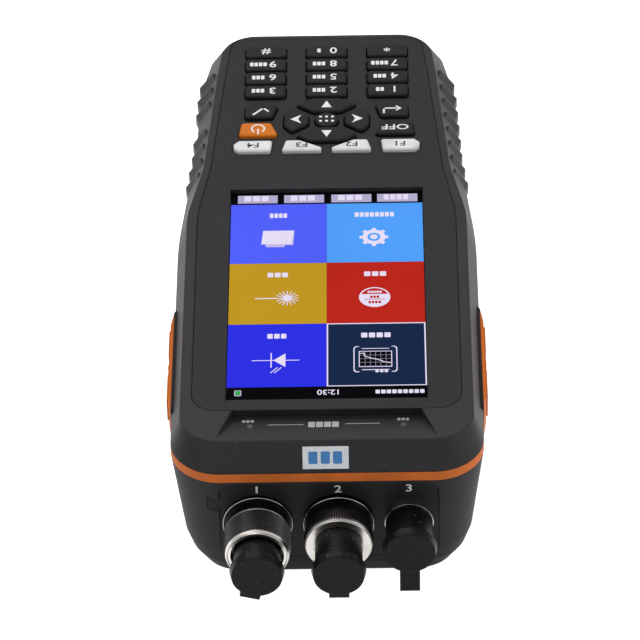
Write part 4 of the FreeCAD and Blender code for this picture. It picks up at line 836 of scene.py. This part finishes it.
edgeIn = 0.1  # how far an edge ring is let into its part
flangeEdge = {"otdr": 1.0, "opm": 1.5}  # from the panel to each flange's bright edge
collarLip = {"inner": 0.75, "outer": 0.35, "behind": 0.3, "ahead": 0.25, "bevel": 0.08,
             "back": 0.15}  # back: from the collar's other end to the bead there
adapterFace = {"inner": 6.8, "behind": 0.4, "ahead": 0.1}
turnedPiece("otdr_flange_edge", "otdr_base", "housing",
            bead(radiusOf("otdr_base") - edgeIn, panelFace - flangeEdge["otdr"]))
turnedPiece("opm_flange_edge", "opm_base", "housing",
            bead(radiusOf("opm_base") - edgeIn, panelFace - flangeEdge["opm"]))
turnedPiece("collar_back_edge", "otdr_collar", "test_port_collar",
            bead(collarRadius, collarBack - collarLip["back"]))
turnedPiece("collar_lip", "otdr_collar", "test_port_collar",
            flatRing(collarRadius - collarLip["inner"], collarRadius - collarLip["outer"],
                     collarFront + collarLip["behind"], collarFront - collarLip["ahead"],
                     collarLip["bevel"]))
turnedPiece("adapter_face", "opm_adapter", "power_meter_adapter",
            flatRing(adapterFace["inner"], adapterRadius - edgeIn,
                     adapterFront + adapterFace["behind"], adapterFront - adapterFace["ahead"]))
print("knurls cut")

view = {"place": (14.626, -1047.62, 869.375), "tilt": 50.6645, "roll": 1.0714, "turn": 0.0623,
        "lens": 257.39, "sensor": 36, "far": 20}
cameraData = bpy.data.cameras.new("camera")
cameraData.lens = view["lens"]
cameraData.sensor_width = view["sensor"]
cameraData.clip_end = view["far"]
camera = bpy.data.objects.new("camera", cameraData)
camera.location = Vector(view["place"]) * mm
camera.rotation_euler = [math.radians(view[key]) for key in ("tilt", "roll", "turn")]
bpy.context.scene.collection.objects.link(camera)
bpy.context.scene.camera = camera

studio = {"floorHalf": 6, "floorDrop": 0.2 * mm, "dark": 0.86, "light": 0.9, "seen": 1.0,
          "fill": 0.32}  # seen: what rays show of the background; fill: what lights the object
side = studio["floorHalf"]
floorCorners = [(-side, -side, 0), (side, -side, 0), (side, side, 0), (-side, side, 0)]
floorMesh = bpy.data.meshes.new("floor")
floorMesh.from_pydata(floorCorners, [], [(0, 1, 2, 3)])
floor = bpy.data.objects.new("floor", floorMesh)
bpy.context.scene.collection.objects.link(floor)
floor.location.z = cadBox[0][2] - studio["floorDrop"]


def backgroundRay(maker):  # 1 for a ray that shows the background
    path = maker.node("ShaderNodeLightPath")
    straight = path.value("Is Camera Ray") + path.value("Is Glossy Ray")
    return straight + path.value("Is Transmission Ray")


def floorFinish():
    s = Shade("floor_white")
    tint = s.mix(s.noise(60, 3), (studio["dark"],) * 3 + (1,), (studio["light"],) * 3 + (1,))
    paper = s.node("ShaderNodeBsdfDiffuse", {}, {"Color": tint}).value(0)
    glow = s.node("ShaderNodeEmission", {}, {"Strength": studio["seen"]}).value(0)
    both = s.node("ShaderNodeAddShader", {}, [paper, glow]).value(0)
    blend = s.node("ShaderNodeMixShader", {}, [backgroundRay(s), paper, both]).value(0)
    s.node("ShaderNodeOutputMaterial", {}, [blend])
    return s.material


floorMesh.materials.append(floorFinish())
world = bpy.data.worlds.new("studio")
bpy.context.scene.world = world
world.use_nodes = True
sky = Tree(world.node_tree)
fill = sky.node("ShaderNodeBackground", {}, {"Strength": studio["fill"]}).value(0)
backdrop = sky.node("ShaderNodeBackground", {}, {"Strength": studio["seen"]}).value(0)
blend = sky.node("ShaderNodeMixShader", {}, [backgroundRay(sky), fill, backdrop]).value(0)
sky.node("ShaderNodeOutputWorld", {}, [blend])

aim = Vector((0, 0, 0.02))
lamps = (
    {"name": "top_softbox", "place": (-0.25, 0.35, 0.95), "size": 0.9, "power": 6.0},
    {"name": "side_softbox", "place": (0.95, -0.2, 0.55), "size": 0.7, "power": 3.0},
    {"name": "front_softbox", "place": (-0.5, -0.95, 0.6), "size": 0.7, "power": 1.4},
)
for lamp in lamps:
    light = bpy.data.lights.new(lamp["name"], "AREA")
    light.energy = lamp["power"]
    light.size = lamp["size"]
    holder = bpy.data.objects.new(lamp["name"], light)
    holder.location = lamp["place"]
    holder.rotation_euler = (aim - holder.location).to_track_quat("-Z", "Y").to_euler()
    bpy.context.scene.collection.objects.link(holder)
bpy.context.scene.view_settings.view_transform = "Standard"
print("camera and light set")
